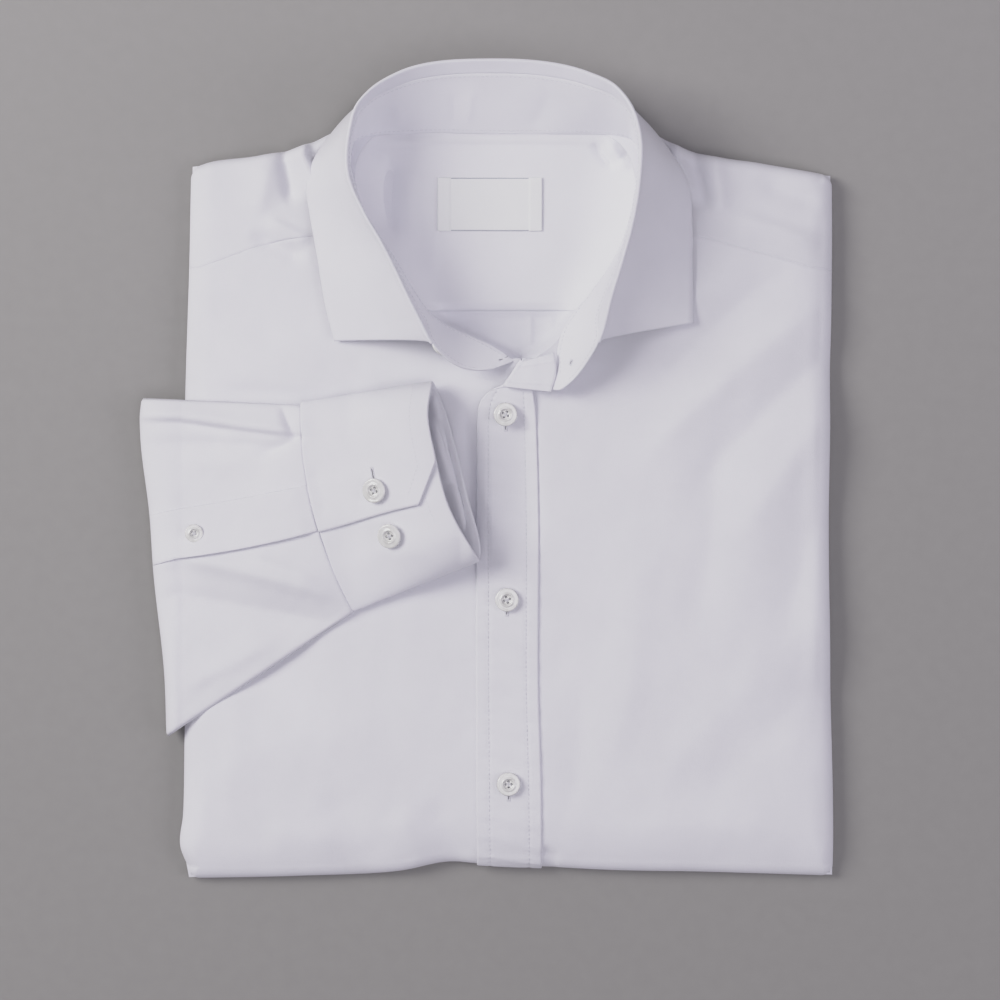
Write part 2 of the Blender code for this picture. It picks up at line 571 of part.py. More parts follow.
def make_folded_layers(cotton):
    """Back, side folds, tails and the other sleeve: one rounded solid, layered at the edges."""
    inner_radius = EDGE_RADIUS - LAYERS_CLEARANCE
    columns, rows = LAYERS_COLUMN_SHARES, LAYERS_ROW_SHARES
    shape = bmesh.new()

    def place(column_share, row_share):
        x, y = 0.0, 0.0
        for _ in range(4):
            left, right, bottom, top = flat_limits(x, y)
            left, right = left + LAYERS_SIDE_INSET, right - LAYERS_SIDE_INSET
            x = left + (right - left) * column_share
            y = bottom + (top - LAYERS_TOP_INSET - bottom) * row_share
        return x, y

    grid = []
    for row_share in rows:
        line = []
        for column_share in columns:
            x, y = place(column_share, row_share)
            line.append(shape.verts.new(placed((x, y, layers_height(x, y)))))
        grid.append(line)
    for first, second in zip(grid, grid[1:]):
        for index in range(len(first) - 1):
            shape.faces.new((first[index], first[index + 1], second[index + 1], second[index]))
    last_row, last_column = len(rows) - 1, len(columns) - 1
    loop = [(0, c, (0, -1)) for c in range(last_column)]
    loop += [(r, last_column, (1, 0)) for r in range(last_row)]
    loop += [(last_row, c, (0, 1)) for c in range(last_column, 0, -1)]
    loop += [(r, 0, (-1, 0)) for r in range(last_row, 0, -1)]
    ways = []
    for index, (row, column, way) in enumerate(loop):
        previous = loop[index - 1][2]
        ways.append(Vector(way) if previous == way else (Vector(way) + Vector(previous)).normalized())
    # Distance out from the flat part, and height, of each line down the edge: first round its turn
    profile = [
        (inner_radius * math.sin(angle), "turn", inner_radius * math.cos(angle)) for angle in LAYERS_TURN_ANGLES
    ]
    profile += [(line.out, "level", line.height) for line in LAYERS_EDGE_LINES]
    previous_ring = [grid[row][column] for row, column, _ in loop]
    tops = [vert.co / MM + MIDDLE for vert in previous_ring]
    for out, kind, height in profile:
        ring = []
        for top, way in zip(tops, ways):
            z = top.z - inner_radius + height if kind == "turn" else height
            ring.append(shape.verts.new(placed((top.x + way.x * out, top.y + way.y * out, z))))
        for index in range(len(ring)):
            after = (index + 1) % len(ring)
            shape.faces.new((previous_ring[index], ring[index], ring[after], previous_ring[after]))
        previous_ring = ring
    shape.faces.new(previous_ring[::-1])
    solid_from_bmesh("folded_layers", shape, cotton)


def placket_rows():
    """Middle of the placket's wall: up the front, round the roll line and out over itself."""
    across = PLACKET_ACROSS
    middle = SEAM_GAP + CLOTH_WALL / 2
    wraps = wrap_lengths()
    rows = []
    bottom_y = flat_limits(10.0, 0.0)[2]
    straight = PLACKET_ROW_SHARES
    for row in range(-len(wraps), len(straight)):
        points = []
        for share in across:
            y = bottom_y + (PLACKET_TURN_Y - bottom_y) * straight[max(row, 0)]
            x = smooth(PLACKET_LEFT, y) * (1 - share) + smooth(PLACKET_RIGHT, y) * share
            if row < 0:
                y = flat_limits(x, 0.0)[2] - wraps[-row - 1]
            points.append(body_point(x, y, middle, ()))
        rows.append(points)
    left_curve = [(smooth(PLACKET_LEFT, PLACKET_TURN_Y), PLACKET_TURN_Y), PLACKET_CORNER, PLACKET_ROLL_START]
    right_curve = [
        (smooth(PLACKET_RIGHT, PLACKET_TURN_Y), PLACKET_TURN_Y), PLACKET_ROLL_SIDE, PLACKET_ROLL_END,
    ]
    for step in PLACKET_CORNER_STEPS:
        left, right = along_points(left_curve, step), along_points(right_curve, step)
        lift = middle + PLACKET_RISE * fade(step)
        rows.append([body_point(*mix(left, right, share), lift, ()) for share in across])
    roll = np.array(PLACKET_ROLL_END) - np.array(PLACKET_ROLL_START)
    away = np.array([-roll[1], roll[0]]) / np.linalg.norm(roll)
    foot = rows[-1]
    radius = PLACKET_ROLL_RADIUS
    for angle in PLACKET_CORNER_STEPS:
        turn = angle * math.pi
        out, up = radius * math.sin(turn), radius * (1 - math.cos(turn))
        rows.append([point + np.array([away[0] * out, away[1] * out, up]) for point in foot])
    crest = rows[-1]
    for step in PLACKET_FLAP_STEPS:
        line = []
        for share, start in zip(across, crest):
            end_x, end_y = mix(PLACKET_FLAP_START, PLACKET_FLAP_END, share)
            bow = PLACKET_FLAP_BOW * math.sin(math.pi * share) * step
            x, y = mix(start[:2], (end_x + bow, end_y), step)
            line.append(np.array([x, y, start[2] + PLACKET_FLAP_LIFT * math.sin(math.pi * step / 2)]))
        rows.append(line)
    return rows


def make_placket(cotton):
    cloth_solid("front_placket", placket_rows(), CLOTH_WALL, cotton, centred=True)


def collar_section(place):
    """Base, rim and leaf points at a place along the collar, counted in sections."""
    last = len(COLLAR) - 1
    base = along_points([s.base for s in COLLAR], place / last)
    lift = line_value([(i, s.lift) for i, s in enumerate(COLLAR)], place)
    rim = along_points([s.rim for s in COLLAR], place / last)
    base = np.array([base[0], base[1], cloth_height(*base) + lift])
    leaf_count = LEAF_END - LEAF_START
    leaf_place = min(max((place - LEAF_START) / leaf_count, 0.0), 1.0)
    leaf = along_points([COLLAR[LEAF_START + i].leaf for i in range(leaf_count + 1)], leaf_place)
    return base, rim, leaf


def stand_top(place):
    """How far up towards the rim the stand reaches: all the way where no leaf is sewn to it."""
    base, rim, _ = collar_section(place)
    under_leaf = 1 - (LEAF_INNER_LEG + SEAM_GAP) / np.linalg.norm(rim - base)
    outside = max(LEAF_START - place, place - LEAF_END)
    return under_leaf + (1 - under_leaf) * fade((outside + 0.02) / 0.2)


def stand_point(place, share):
    base, rim, _ = collar_section(place)
    return mix(base, rim, share)


def make_collar_stand(cotton):
    last = len(COLLAR) - 1
    places = [index / 2 for index in range(2 * last + 1)]
    places += [LEAF_START - step for step in STAND_LEAF_STEPS] + [LEAF_END + step for step in STAND_LEAF_STEPS]
    rows = []
    for place in sorted(places):
        top = stand_top(place)
        rows.append([stand_point(place, top * share) for share in STAND_SHARES])
    cloth_solid("collar_stand", rows, COLLAR_STAND_WALL, cotton, centred=True)


def leaf_section(place):
    """Middle of the leaf's wall: a short inner leg, the turn at the rim, and the fall."""
    base, rim, leaf = collar_section(place)
    up = (rim - base) / np.linalg.norm(rim - base)
    out = (leaf - rim) - up * np.dot(leaf - rim, up)
    out = out / np.linalg.norm(out)
    radius = LEAF_TURN_RADIUS
    centre = rim - up * radius + out * radius
    points = [rim - up * LEAF_INNER_LEG]
    for angle in LEAF_TURN_SHARES:
        turn = angle * math.pi
        points.append(centre - out * radius * math.cos(turn) + up * radius * math.sin(turn))
    start = points[-1]
    bend = start - up * LEAF_FALL * np.linalg.norm(leaf - start)
    for step in LEAF_FALL_STEPS:
        points.append((1 - step) ** 2 * start + 2 * step * (1 - step) * bend + step**2 * leaf)
    return points


def make_collar_leaf(cotton):
    count = 2 * (LEAF_END - LEAF_START)
    rows = []
    for index in range(count + 1):
        share = index / count
        place = LEAF_START + LEAF_END_MARGIN + (LEAF_END - LEAF_START - 2 * LEAF_END_MARGIN) * share
        rows.append(leaf_section(place))
    cloth_solid("collar_leaf", rows, COLLAR_LEAF_WALL, cotton, centred=True)


def sleeve_height(along):
    """Thickness of the flattened sleeve, from the cuff seam, 0, to its fold, 1."""
    return SLEEVE_SEAM_HEIGHT + (SLEEVE_FOLD_HEIGHT - SLEEVE_SEAM_HEIGHT) * fade(along * 1.3)


def sleeve_point(along, across, depth):
    """Sleeve point at a depth under its outer face. From 1 to 2, along runs down round the fold."""
    seam, fold = mix(*SLEEVE_SEAM, across), mix(*SLEEVE_FOLD, across)
    turn_share = (SLEEVE_TURN_X - seam[0]) / (fold[0] - seam[0])
    turn = mix(seam, fold, turn_share)
    if along <= 1:
        x, y = mix(seam, turn, along)
        top = cloth_height(x, y) + SLEEVE_CLEARANCE + sleeve_height(along)
        return np.array([x, y, top + ridge_height(SLEEVE_RIDGES, x, y) * fade(1 - depth / 3) - depth])
    angle = math.pi * (0.5 - (along - 1))
    top = cloth_height(*turn) + SLEEVE_CLEARANCE + SLEEVE_FOLD_HEIGHT
    centre = (top + SLEEVE_FLOOR) / 2
    wide, high = turn[0] - fold[0] - depth, centre - SLEEVE_FLOOR - depth
    y = mix(turn, fold, math.cos(angle))[1]
    return np.array([turn[0] - wide * math.cos(angle), y, centre + high * math.sin(angle)])


def edge_depth(across, thickness):
    """Depth of a flattened tube's upper face: none in the middle, half way down at its edges."""
    outward = abs(2 * across - 1) ** SLEEVE_EDGE_SHARPNESS
    return thickness / 2 * (1 - math.sqrt(max(1 - outward, 0.0)))


def make_sleeve(cotton):
    across = SLEEVE_ACROSS
    rows = []
    for along in SLEEVE_ALONG:
        thickness = sleeve_height(min(along, 1.0))
        outer = [sleeve_point(along, w, edge_depth(w, thickness)) for w in across]
        inner = [sleeve_point(along, w, thickness - edge_depth(w, thickness)) for w in across[-2:0:-1]]
        rows.append(outer + inner)
    cloth_solid("right_sleeve", rows, CLOTH_WALL, cotton, closed=True, flip=True)


def make_gauntlet(cotton):
    """The strip that faces the sleeve's slit, on the sleeve's points moved out."""
    rows = []
    for along in GAUNTLET_ALONG:
        low = mix(*GAUNTLET_SPAN[0], min(along, 1.0))
        high = mix(*GAUNTLET_SPAN[1], min(along, 1.0))
        rows.append([
            sleeve_point(along, low + (high - low) * share, -GAUNTLET_CLEARANCE - TRIM_WALL)
            for share in GAUNTLET_SHARES
        ])
    cloth_solid("sleeve_gauntlet", rows, TRIM_WALL, cotton, flip=True)


def cuff_arch(across):
    """Height of the cuff's upper side, from 0 at its folded edges to 1 in the middle."""
    return math.sqrt(max(1 - abs(2 * across - 1) ** CUFF_ARCH_SHARPNESS, 0.0))


def cuff_point(along, across, level):
    """Cuff point: level 0 on its lower side, 1 on its upper side, less than 1 under the overlap."""
    seam = mix(*CUFF_SEAM, across)
    above = along_points(CUFF_MOUTH_ABOVE, across)
    below = along_points(CUFF_MOUTH_BELOW, across)
    mouth = mix(below, above, min(level, 1.0))
    x, y = mix(seam, mouth, along)
    height = CUFF_SEAM_HEIGHT + (CUFF_MOUTH_HEIGHT - CUFF_SEAM_HEIGHT) * fade(along)
    low = cloth_height(x, y) + CUFF_CLEARANCE + CUFF_TIP_RISE * fade((x - CUFF_TIP_X) / CUFF_TIP_RISE_RUN)
    high = low + height * cuff_arch(across)
    middle = low + height * CUFF_EDGE_SHARE
    return np.array([x, y, low + (high - low) * level if across not in (0.0, 1.0) else middle])


def cuff_ring():
    """Stations round the cuff, from the end that lies underneath to the one on top."""
    drop_start, drop_run = CUFF_OVERLAP_SPAN
    stations = []
    for across in CUFF_UNDER_SHARES:
        stations.append((across, 1, CUFF_OVERLAP_DROP * fade((drop_start - across) / drop_run)))
    stations += [(across, 0, 0.0) for across in CUFF_LOWER_SHARES]
    stations += [(across, 1, 0.0) for across in CUFF_UPPER_SHARES]
    return stations


def make_cuff(cotton):
    stations = cuff_ring()
    rows = []
    for along in CUFF_ALONG:
        line = []
        for index, (across, level, drop) in enumerate(stations):
            reach = 1.0
            if index > len(stations) - CUFF_MITRE_STATIONS:
                mitre = (across - CUFF_MITRE_START) / (CUFF_OVER_END - CUFF_MITRE_START)
                reach = 1 - CUFF_MITRE_DEPTH * min(max(mitre, 0.0), 1.0)
            point = cuff_point(along * reach, across, level)
            point[2] -= drop
            line.append(point)
        rows.append(line)
    cloth_solid("right_cuff", rows, CUFF_WALL, cotton, flip=False)


def make_label(label_white):
    """Woven label on the yoke lining, its two ends turned under."""
    rows = []
    half_width, half_depth = LABEL_SIZE[0] / 2, LABEL_SIZE[1] / 2
    for y in (-half_depth, 0.0, half_depth):
        line = []
        for share in LABEL_SHARES:
            raised = LABEL_END_RISE if min(share, 1 - share) < LABEL_END_SHARE + 0.01 else 0.0
            z = LINING_HEIGHT + SEAM_GAP + LABEL_WALL + raised
            line.append((LABEL_CENTRE[0] - half_width + 2 * half_width * share, LABEL_CENTRE[1] + y, z))
        rows.append(line)
    cloth_solid("label", rows, LABEL_WALL, label_white)


def make_button(name, centre, axis, diameter, thickness, pearl):
    """Round button with a raised rim and a dished middle."""
    radius = diameter / 2
    profile = [(radius * line.radius, thickness * line.height) for line in BUTTON_LINES]
    shape = bmesh.new()
    rings = []
    for ring_radius, height in profile:
        ring = []
        for index in range(BUTTON_SIDES):
            angle = 2 * math.pi * index / BUTTON_SIDES
            at = Vector((ring_radius * math.cos(angle), ring_radius * math.sin(angle), height)) * MM
            ring.append(shape.verts.new(at))
        rings.append(ring)
    for first, second in zip(rings, rings[1:]):
        for index in range(BUTTON_SIDES):
            after = (index + 1) % BUTTON_SIDES
            shape.faces.new((first[index], first[after], second[after], second[index]))
    shape.faces.new(rings[0][::-1])
    shape.faces.new(rings[-1])
    made = solid_from_bmesh(name, shape, pearl)
    turn = Vector((0, 0, 1)).rotation_difference(Vector(axis))
    made.matrix_world = Matrix.Translation(placed(centre)) @ turn.to_matrix().to_4x4()
    return made


def grid_normal(point_at, first, second, step=0.01):
    """Unit normal of a surface given by a function of two values."""
    across = point_at(first + step, second) - point_at(first - step, second)
    up = point_at(first, second + step) - point_at(first, second - step)
    normal = np.cross(across, up)
    return normal / np.linalg.norm(normal)


def make_buttons(pearl):
    for index, (x, y) in enumerate(FRONT_BUTTON_PLACES, 1):
        z = body_point(x, y, 2 * SEAM_GAP + CLOTH_WALL, ())[2] + FRONT_BUTTON_THICKNESS / 2
        z += FIRST_BUTTON_RISE if index == 1 else 0.0
        axis = (0, 0, 1)
        make_button(
            f"front_button_{index}", (x, y, z), axis, FRONT_BUTTON_DIAMETER, FRONT_BUTTON_THICKNESS, pearl
        )
    # Cuff buttons: one through the overlap, the other on the end underneath
    for index, (along, across, sunk) in enumerate(CUFF_BUTTON_PLACES, 1):
        def cuff_top(a, b):
            return cuff_point(a, b, 1)

        normal = -grid_normal(cuff_top, along, across)
        point = cuff_top(along, across) + normal * (SEAM_GAP * 2 - sunk + FRONT_BUTTON_THICKNESS / 2)
        make_button(f"cuff_button_{index}", point, normal, CUFF_BUTTON_DIAMETER, FRONT_BUTTON_THICKNESS, pearl)
    point = sleeve_point(*GAUNTLET_BUTTON_PLACE, -SEAM_GAP * 3 - TRIM_WALL - SMALL_BUTTON_THICKNESS / 2)
    make_button("gauntlet_button", point, (0, 0, 1), GAUNTLET_BUTTON_DIAMETER, SMALL_BUTTON_THICKNESS, pearl)
    normal = grid_normal(stand_point, *COLLAR_BUTTON_PLACE)
    if normal[2] > 0:
        normal = -normal
    reach = COLLAR_STAND_WALL / 2 + SEAM_GAP * 3 + SMALL_BUTTON_THICKNESS / 2
    point = stand_point(*COLLAR_BUTTON_PLACE) + normal * reach
    make_button("collar_button", point, normal, COLLAR_BUTTON_DIAMETER, SMALL_BUTTON_THICKNESS, pearl)


def main():
    for existing in list(bpy.data.objects):
        bpy.data.objects.remove(existing, do_unlink=True)
    cotton = material("white_cotton", WHITE_COTTON, 0.85)
    label_white = material("label_satin", LABEL_WHITE, 0.6)
    pearl = material("pearl_button", PEARL, 0.25)
    make_folded_layers(cotton)
    make_fronts(cotton)
    make_yoke(cotton)
    make_inside(cotton)
    make_placket(cotton)
    make_collar_stand(cotton)
    make_collar_leaf(cotton)
    make_sleeve(cotton)
    make_gauntlet(cotton)
    make_cuff(cotton)
    make_label(label_white)
    make_buttons(pearl)


main()
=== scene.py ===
import math
from collections import namedtuple

import bmesh
import bpy
import numpy as np
from mathutils import Matrix, Vector


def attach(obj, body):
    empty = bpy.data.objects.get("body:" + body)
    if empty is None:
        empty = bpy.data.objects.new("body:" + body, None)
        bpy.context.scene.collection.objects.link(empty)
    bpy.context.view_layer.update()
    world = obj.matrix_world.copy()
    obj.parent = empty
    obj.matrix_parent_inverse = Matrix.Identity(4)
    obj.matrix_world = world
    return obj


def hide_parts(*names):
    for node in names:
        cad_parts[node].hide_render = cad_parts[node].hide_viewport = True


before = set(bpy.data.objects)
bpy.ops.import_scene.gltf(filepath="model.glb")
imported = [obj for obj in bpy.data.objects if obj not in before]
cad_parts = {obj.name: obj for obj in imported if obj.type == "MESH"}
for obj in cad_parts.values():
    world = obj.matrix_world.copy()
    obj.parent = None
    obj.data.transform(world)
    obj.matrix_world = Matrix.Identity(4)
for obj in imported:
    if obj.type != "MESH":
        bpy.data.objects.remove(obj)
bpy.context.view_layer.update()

# Points and sizes in the tables are millimetres, with +Z up and +Y towards the collar
MM = 0.001
MIDDLE = np.array([-0.2, 0.4, 0.0])
FAR = 1e9


def table(columns, rows):
    """Rows of numbers with named columns."""
    return [columns(*row) for row in rows]


# Cloth thicknesses
FRONT_WALL = 0.7
STAND_WALL = 1.1
LEAF_WALL = 0.85
CUFF_WALL = 1.2
PLACKET_WALL = 0.9
TRIM_WALL = 0.7
LINING_WALL = 0.6
LABEL_WALL = 0.35
SEAM_GAP = 0.3
RIM_ROUNDING = 0.45

# The folded body
EDGE_HEIGHT = 12.0
EDGE_RADIUS = 6.0
CROWN_HEIGHT = 6.5
CROWN_CENTRE = (10.0, -18.0)
CROWN_HALF_SIZE = (157.0, 181.0)
EDGE_START_ANGLE = math.radians(32)
EDGE_END_ANGLE = math.radians(76)
TOP_EDGE_END_ANGLE = math.radians(104)
EDGE_SLOPE = 0.376
EDGE_WRAP_ROWS = 12
LAYERS_DEPTH = 2.8
LINING_HEIGHT = 10.2
LINING_EDGE_LIFT = 0.1
LINING_RISE_WIDTH = 24.0
LINING_RISE_WIDTH_FRONT = 14.0
BACK_DIP = 5.0
BACK_DIP_START = 82.0
BACK_DIP_LENGTH = 9.0
YOKE_BACK_SEAM_Y = 77.4
LINING_BACK_Y = 163.2
BACK_FRONT_Y = 50.0
CLOTH_STEP = 1.5
INSIDE_STEP = 1.3
INSIDE_COLUMNS = 100
INSIDE_TUCK = 1.4
LINING_SEAM_RIDGE = 0.5
FRONT_LENGTH = 310.0
RIGHT_FRONT_SPAN = (-141.0, 15.6)
LEFT_FRONT_SPAN = (16.4, 158.0)
YOKE_SIDE_COLUMNS = 52
YOKE_ROWS = 34
LAYER_STEPS = 90
LAYERS_BELOW_LINING = 1.2

# The underside, where the folded side panels and the tail stand proud of the middle
UNDER_RELIEF = 0.45
UNDER_LEFT_X = -52.0
UNDER_RIGHT_X = 61.0
UNDER_TAIL_Y = -118.0

EdgeRow = namedtuple("EdgeRow", "along place")
LEFT_EDGE = table(EdgeRow, [
    (-200, -141), (-190, -146), (-182, -149), (-165, -147.8), (-131, -147.1), (34, -146.8),
    (97, -144.9), (172, -143.6),
])
RIGHT_EDGE = table(EdgeRow, [
    (-200, 166.8), (-158, 166.6), (-110, 165.5), (-38, 164.5), (34, 165), (102, 166), (172, 166),
])
BOTTOM_EDGE = table(EdgeRow, [
    (-150, -197), (-91, -195.6), (-43, -193.1), (-19, -188.8), (-5, -189.6), (25, -191), (54, -192.6),
    (102, -193.6), (167, -195.7),
])
TOP_EDGE = table(EdgeRow, [
    (-144, 146.3), (-137, 148.7), (-110, 152.4), (-86, 158.2), (-72, 165), (-60, 168.5), (0, 169),
    (60, 168.5), (76, 165), (90, 157.3), (102, 153.4), (131, 148.7), (166, 142.9),
])
YOKE_SEAM = table(EdgeRow, [
    (-160, 96.5), (-143, 97), (-129, 101.4), (-109, 108.5), (-83, 112.8), (-66, 115), (73, 116.7),
    (99, 113.3), (130, 105.2), (165, 96.8), (175, 96.5),
])

# Creases: a curve from start past bend to end, the width of its left and right flank, and its height
Crease = namedtuple("Crease", "start bend end left right height")
BODY_CREASES = table(Crease, [
    ((172, 88), (118, 52), (66, -2), 9, 8, 2.3),
    ((176, 66), (132, 34), (92, -18), 9, 9, -2.3),
    ((150, 104), (106, 70), (66, 30), 8, 7, -1.7),
    ((132, 108), (96, 84), (52, 40), 9, 8, 1.4),
    ((176, 42), (142, 8), (118, -40), 10, 9, 2),
    ((108, 22), (110, -30), (98, -86), 9, 11, -1.8),
    ((172, 12), (146, -40), (140, -100), 9, 12, -1.6),
    ((70, -20), (76, -80), (56, -150), 12, 14, 1.5),
    ((174, -88), (134, -122), (92, -172), 12, 14, -1.5),
    ((176, -60), (120, -98), (76, -158), 12, 12, 1.1),
    ((15, 37), (18, -6), (17, -46), 6, 15, -3.4),
    ((40, -96), (52, -130), (34, -172), 8, 10, -1.2),
    ((60, -168), (105, -172), (152, -168), 9, 10, 0.9),
    ((-138, -176), (-118, -172), (-100, -180), 8, 8, -0.7),
    ((-110, -170), (-90, -176), (-70, -178), 8, 9, 0.7),
    ((-78, -150), (-64, -172), (-54, -194), 9, 11, -1.4),
    ((-30, -156), (-18, -174), (-10, -194), 7, 9, -1.6),
    ((-46, -160), (-36, -178), (-32, -196), 7, 8, 0.9),
    ((25, -181), (29, -184), (34, -187), 2.5, 2.5, -1.2),
    ((-92, 158), (-86, 147), (-80, 130), 2.5, 6, 5),
    ((-100, 154), (-96, 142), (-95, 126), 4, 3, -4.6),
    ((-106, 152), (-106, 137), (-112, 121), 5, 8, 2.4),
    ((-108, 123), (-95, 114), (-84, 111), 2.5, 4, 2.2),
    ((-116, 116), (-100, 106), (-86, 103), 3, 4.5, -2.7),
    ((87, 158), (94, 146), (99, 126), 2.5, 4.5, 4.6),
    ((97, 154), (104, 142), (106, 124), 2.5, 3.5, -3),
    ((107, 152), (113, 137), (111, 120), 4, 5, 2.6),
    ((112, 124), (138, 118), (161, 108), 4, 7, 1.8),
    ((126, 142), (146, 131), (162, 129), 5, 6, -1.6),
    ((157, 58), (160, -30), (157, -122), 6, 5, 1.6),
    ((161, -90), (154, -128), (158, -170), 6, 8, -0.8),
    ((-10, 36), (-9.5, -6), (-9, -48), 6.5, 3.4, -4.2),
    ((-140, 66), (-110, 54), (-64, 44), 9, 16, 1.8),
    ((-132, 40), (-100, 38), (-72, 34), 3.5, 6, -1.5),
    ((-140, -104), (-112, -92), (-80, -70), 12, 18, -2.4),
    ((-136, -142), (-96, -128), (-44, -122), 18, 20, 1.8),
    ((-128, -60), (-118, -120), (-128, -170), 10, 14, 1.5),
])
BOTTOM_ROLL_WIDTH = 19.0
SIDE_ROLL_WIDTH = 6.5

# The neck: one row for each section of the collar, from the one free end round the back
# base is where the stand meets the body, lift how far above the cloth it starts,
# rim the fold between stand and leaf, leaf the outer edge of the turned-down leaf
Section = namedtuple("Section", "base lift rim leaf")
COLLAR = table(Section, [
    ((12.4, 52.8), -0.5, (-0.7, 47.8, 26), None),
    ((2.2, 59.5), -0.5, (-12.5, 49.2, 31), None),
    ((-19.4, 69.5), -0.5, (-26.1, 59.9, 41), (-73.4, 62.4, 20)),
    ((-28, 75.7), -0.5, (-33.1, 72.9, 44), (-76.8, 74.5, 19.5)),
    ((-47.6, 105), -0.5, (-50.3, 107.8, 48), (-82.6, 107.4, 19)),
    ((-59.2, 121.4), -0.5, (-58.3, 121.8, 49.5), (-85.5, 123.3, 18)),
    ((-65, 139.7), -0.5, (-65.3, 139.1, 50), (-87, 138.7, 17)),
    ((-66.5, 152), -0.5, (-64.4, 160.8, 49), (-79, 157.4, 14)),
    ((-64.6, 158.8), -0.5, (-61.7, 170.9, 47), (-69, 170.7, 8)),
    ((-57, 161.6), -0.5, (-55.7, 178.8, 44), (-59, 180, 3.5)),
    ((-40.2, 162.6), -0.5, (-42.8, 187.5, 40), (-46.6, 185.2, 2)),
    ((1.2, 162.6), -0.5, (1.2, 194.5, 36), (1.1, 188.4, 2)),
    ((44, 162.3), -0.5, (47.7, 187.6, 39), (50.8, 185, 2)),
    ((60, 161.8), -0.5, (59.2, 181.3, 43), (65, 178.9, 3.5)),
    ((69, 159.6), -0.5, (66.1, 172.3, 46.5), (75, 169.2, 8)),
    ((72.2, 153), -0.5, (70.2, 159.8, 49), (85, 156.1, 15.5)),
    ((71.2, 138.7), -0.5, (70.2, 135.3, 50), (96.1, 134.9, 18.5)),
    ((68.7, 122.8), -0.5, (67.8, 119.9, 50), (97.5, 116.6, 18)),
    ((58.6, 98.6), -0.5, (61.8, 96.6, 48), (97.4, 100.2, 19)),
    ((48.6, 84.8), -0.5, (57.7, 82.6, 46), (97.6, 85.8, 19.5)),
    ((35.6, 66.6), 0.6, (51.7, 60.3, 41.5), (97.6, 71, 20)),
    ((33.2, 58), 3, (47.1, 52.5, 37), None),
    ((33.6, 50.2), 4.8, (41, 44.3, 31), None),
    ((31.2, 39.3), 6.2, (32.6, 37.4, 26.4), None),
])
STAND_END_RADIUS = 4.0
LEAF_START = 2
LEAF_END = 20
LEAF_TURN_RADIUS = 0.55
LEAF_INNER_LEG = 7.0
LEAF_INNER_LEG_TAPER = 14.0
LEAF_FALL = 0.15
NECK_FRONT_CORNER = (30.5, 60.7)
NECK_FRONT_CORNER_INNER = (23.0, 55.0)
NECK_SECTIONS = 21

# The placket: left and right edges by their place up the shirt
PLACKET_LEFT = table(EdgeRow, [
    (-200, -4.9), (-170, -5.4), (-120, -5.6), (22.6, -5.5), (40, -5.4),
])
PLACKET_RIGHT = table(EdgeRow, [
    (-200, 25.4), (-145, 24.8), (-110, 23.7), (-14, 23.6), (22.6, 22.6), (40, 21.8),
])
PLACKET_TURN_Y = 18.0
PLACKET_CORNER = [(-5.2, 26.5), (-3.6, 33.2), (1.2, 38.6)]
PLACKET_ROLL_START = (8.4, 40.4)
PLACKET_ROLL_SIDE = [(22.4, 26.0), (21.6, 34.0), (19.8, 43.0)]
PLACKET_ROLL_END = (16.4, 52.2)
PLACKET_FLAP_START = (29.6, 38.0)
PLACKET_FLAP_END = (31.2, 56.0)
PLACKET_ROLL_RADIUS = 1.3
PLACKET_RISE = 2.2
PLACKET_LIFT = 0.6
PLACKET_STITCH_INSET = 5.6
PLACKET_WIDTH = 29.3
PLACKET_ROW_STEP = 1.22
PLACKET_COLUMNS = 45

# The sleeve that comes round the side and lies over the front
SLEEVE_SEAM = ((-89.6, 31.0), (-65.1, -67.1))
FoldRow = namedtuple("FoldRow", "across x y")
SLEEVE_FOLD = table(FoldRow, [
    (0.0, -166.9, 34.7), (0.05, -167.5, 26.8), (0.11, -167.2, 17.2), (0.35, -162.7, -21.7),
    (0.5, -161.1, -46.0), (0.85, -155.4, -102.5), (1.0, -154.8, -127.0),
])
SLEEVE_TURN_X = -149.0
SLEEVE_CLEARANCE = 0.6
SLEEVE_SEAM_HEIGHT = 7.5
SLEEVE_FOLD_HEIGHT = 3.8
SLEEVE_FLOOR = 0.6
SLEEVE_LOW_EDGE = 0.5
SLEEVE_CREASES = table(Crease, [
    ((-184, 32), (-128, 22.5), (-78, 17), 5, 1.4, 3.1),
    ((-150, 25), (-136, 22), (-118, 18), 3, 3.5, -0.9),
    ((-100, 38), (-98.5, 26), (-90, 12), 4.5, 2.2, -2.4),
    ((-86, 20), (-96, 12), (-114, 6), 2, 3, -1.3),
    ((-166, 14), (-124, 14), (-80, 10), 3, 6, -1.2),
    ((-164, -38), (-112, -46), (-58, -64), 10, 5, 3.8),
    ((-166, -56), (-118, -64), (-58, -76), 6, 12, -3),
    ((-152, -106), (-126, -95), (-98, -78), 7, 4, 1.2),
    ((-118, -40), (-98, -46), (-78, -52), 3, 5, 0.9),
    ((-158, -108), (-154, -116), (-150, -122), 1.5, 2.5, 0.9),
    ((-148, 4), (-128, 3), (-108, 6), 5, 5, 0.8),
])
GAUNTLET_SPAN = ((0.386, 0.35), (0.604, 0.50))
GAUNTLET_FOLD_RUN = 0.055
GAUNTLET_ALONG = (0.006, 1.4)
GAUNTLET_LIFT = 0.85
GAUNTLET_LOW_LIFT = 1.3

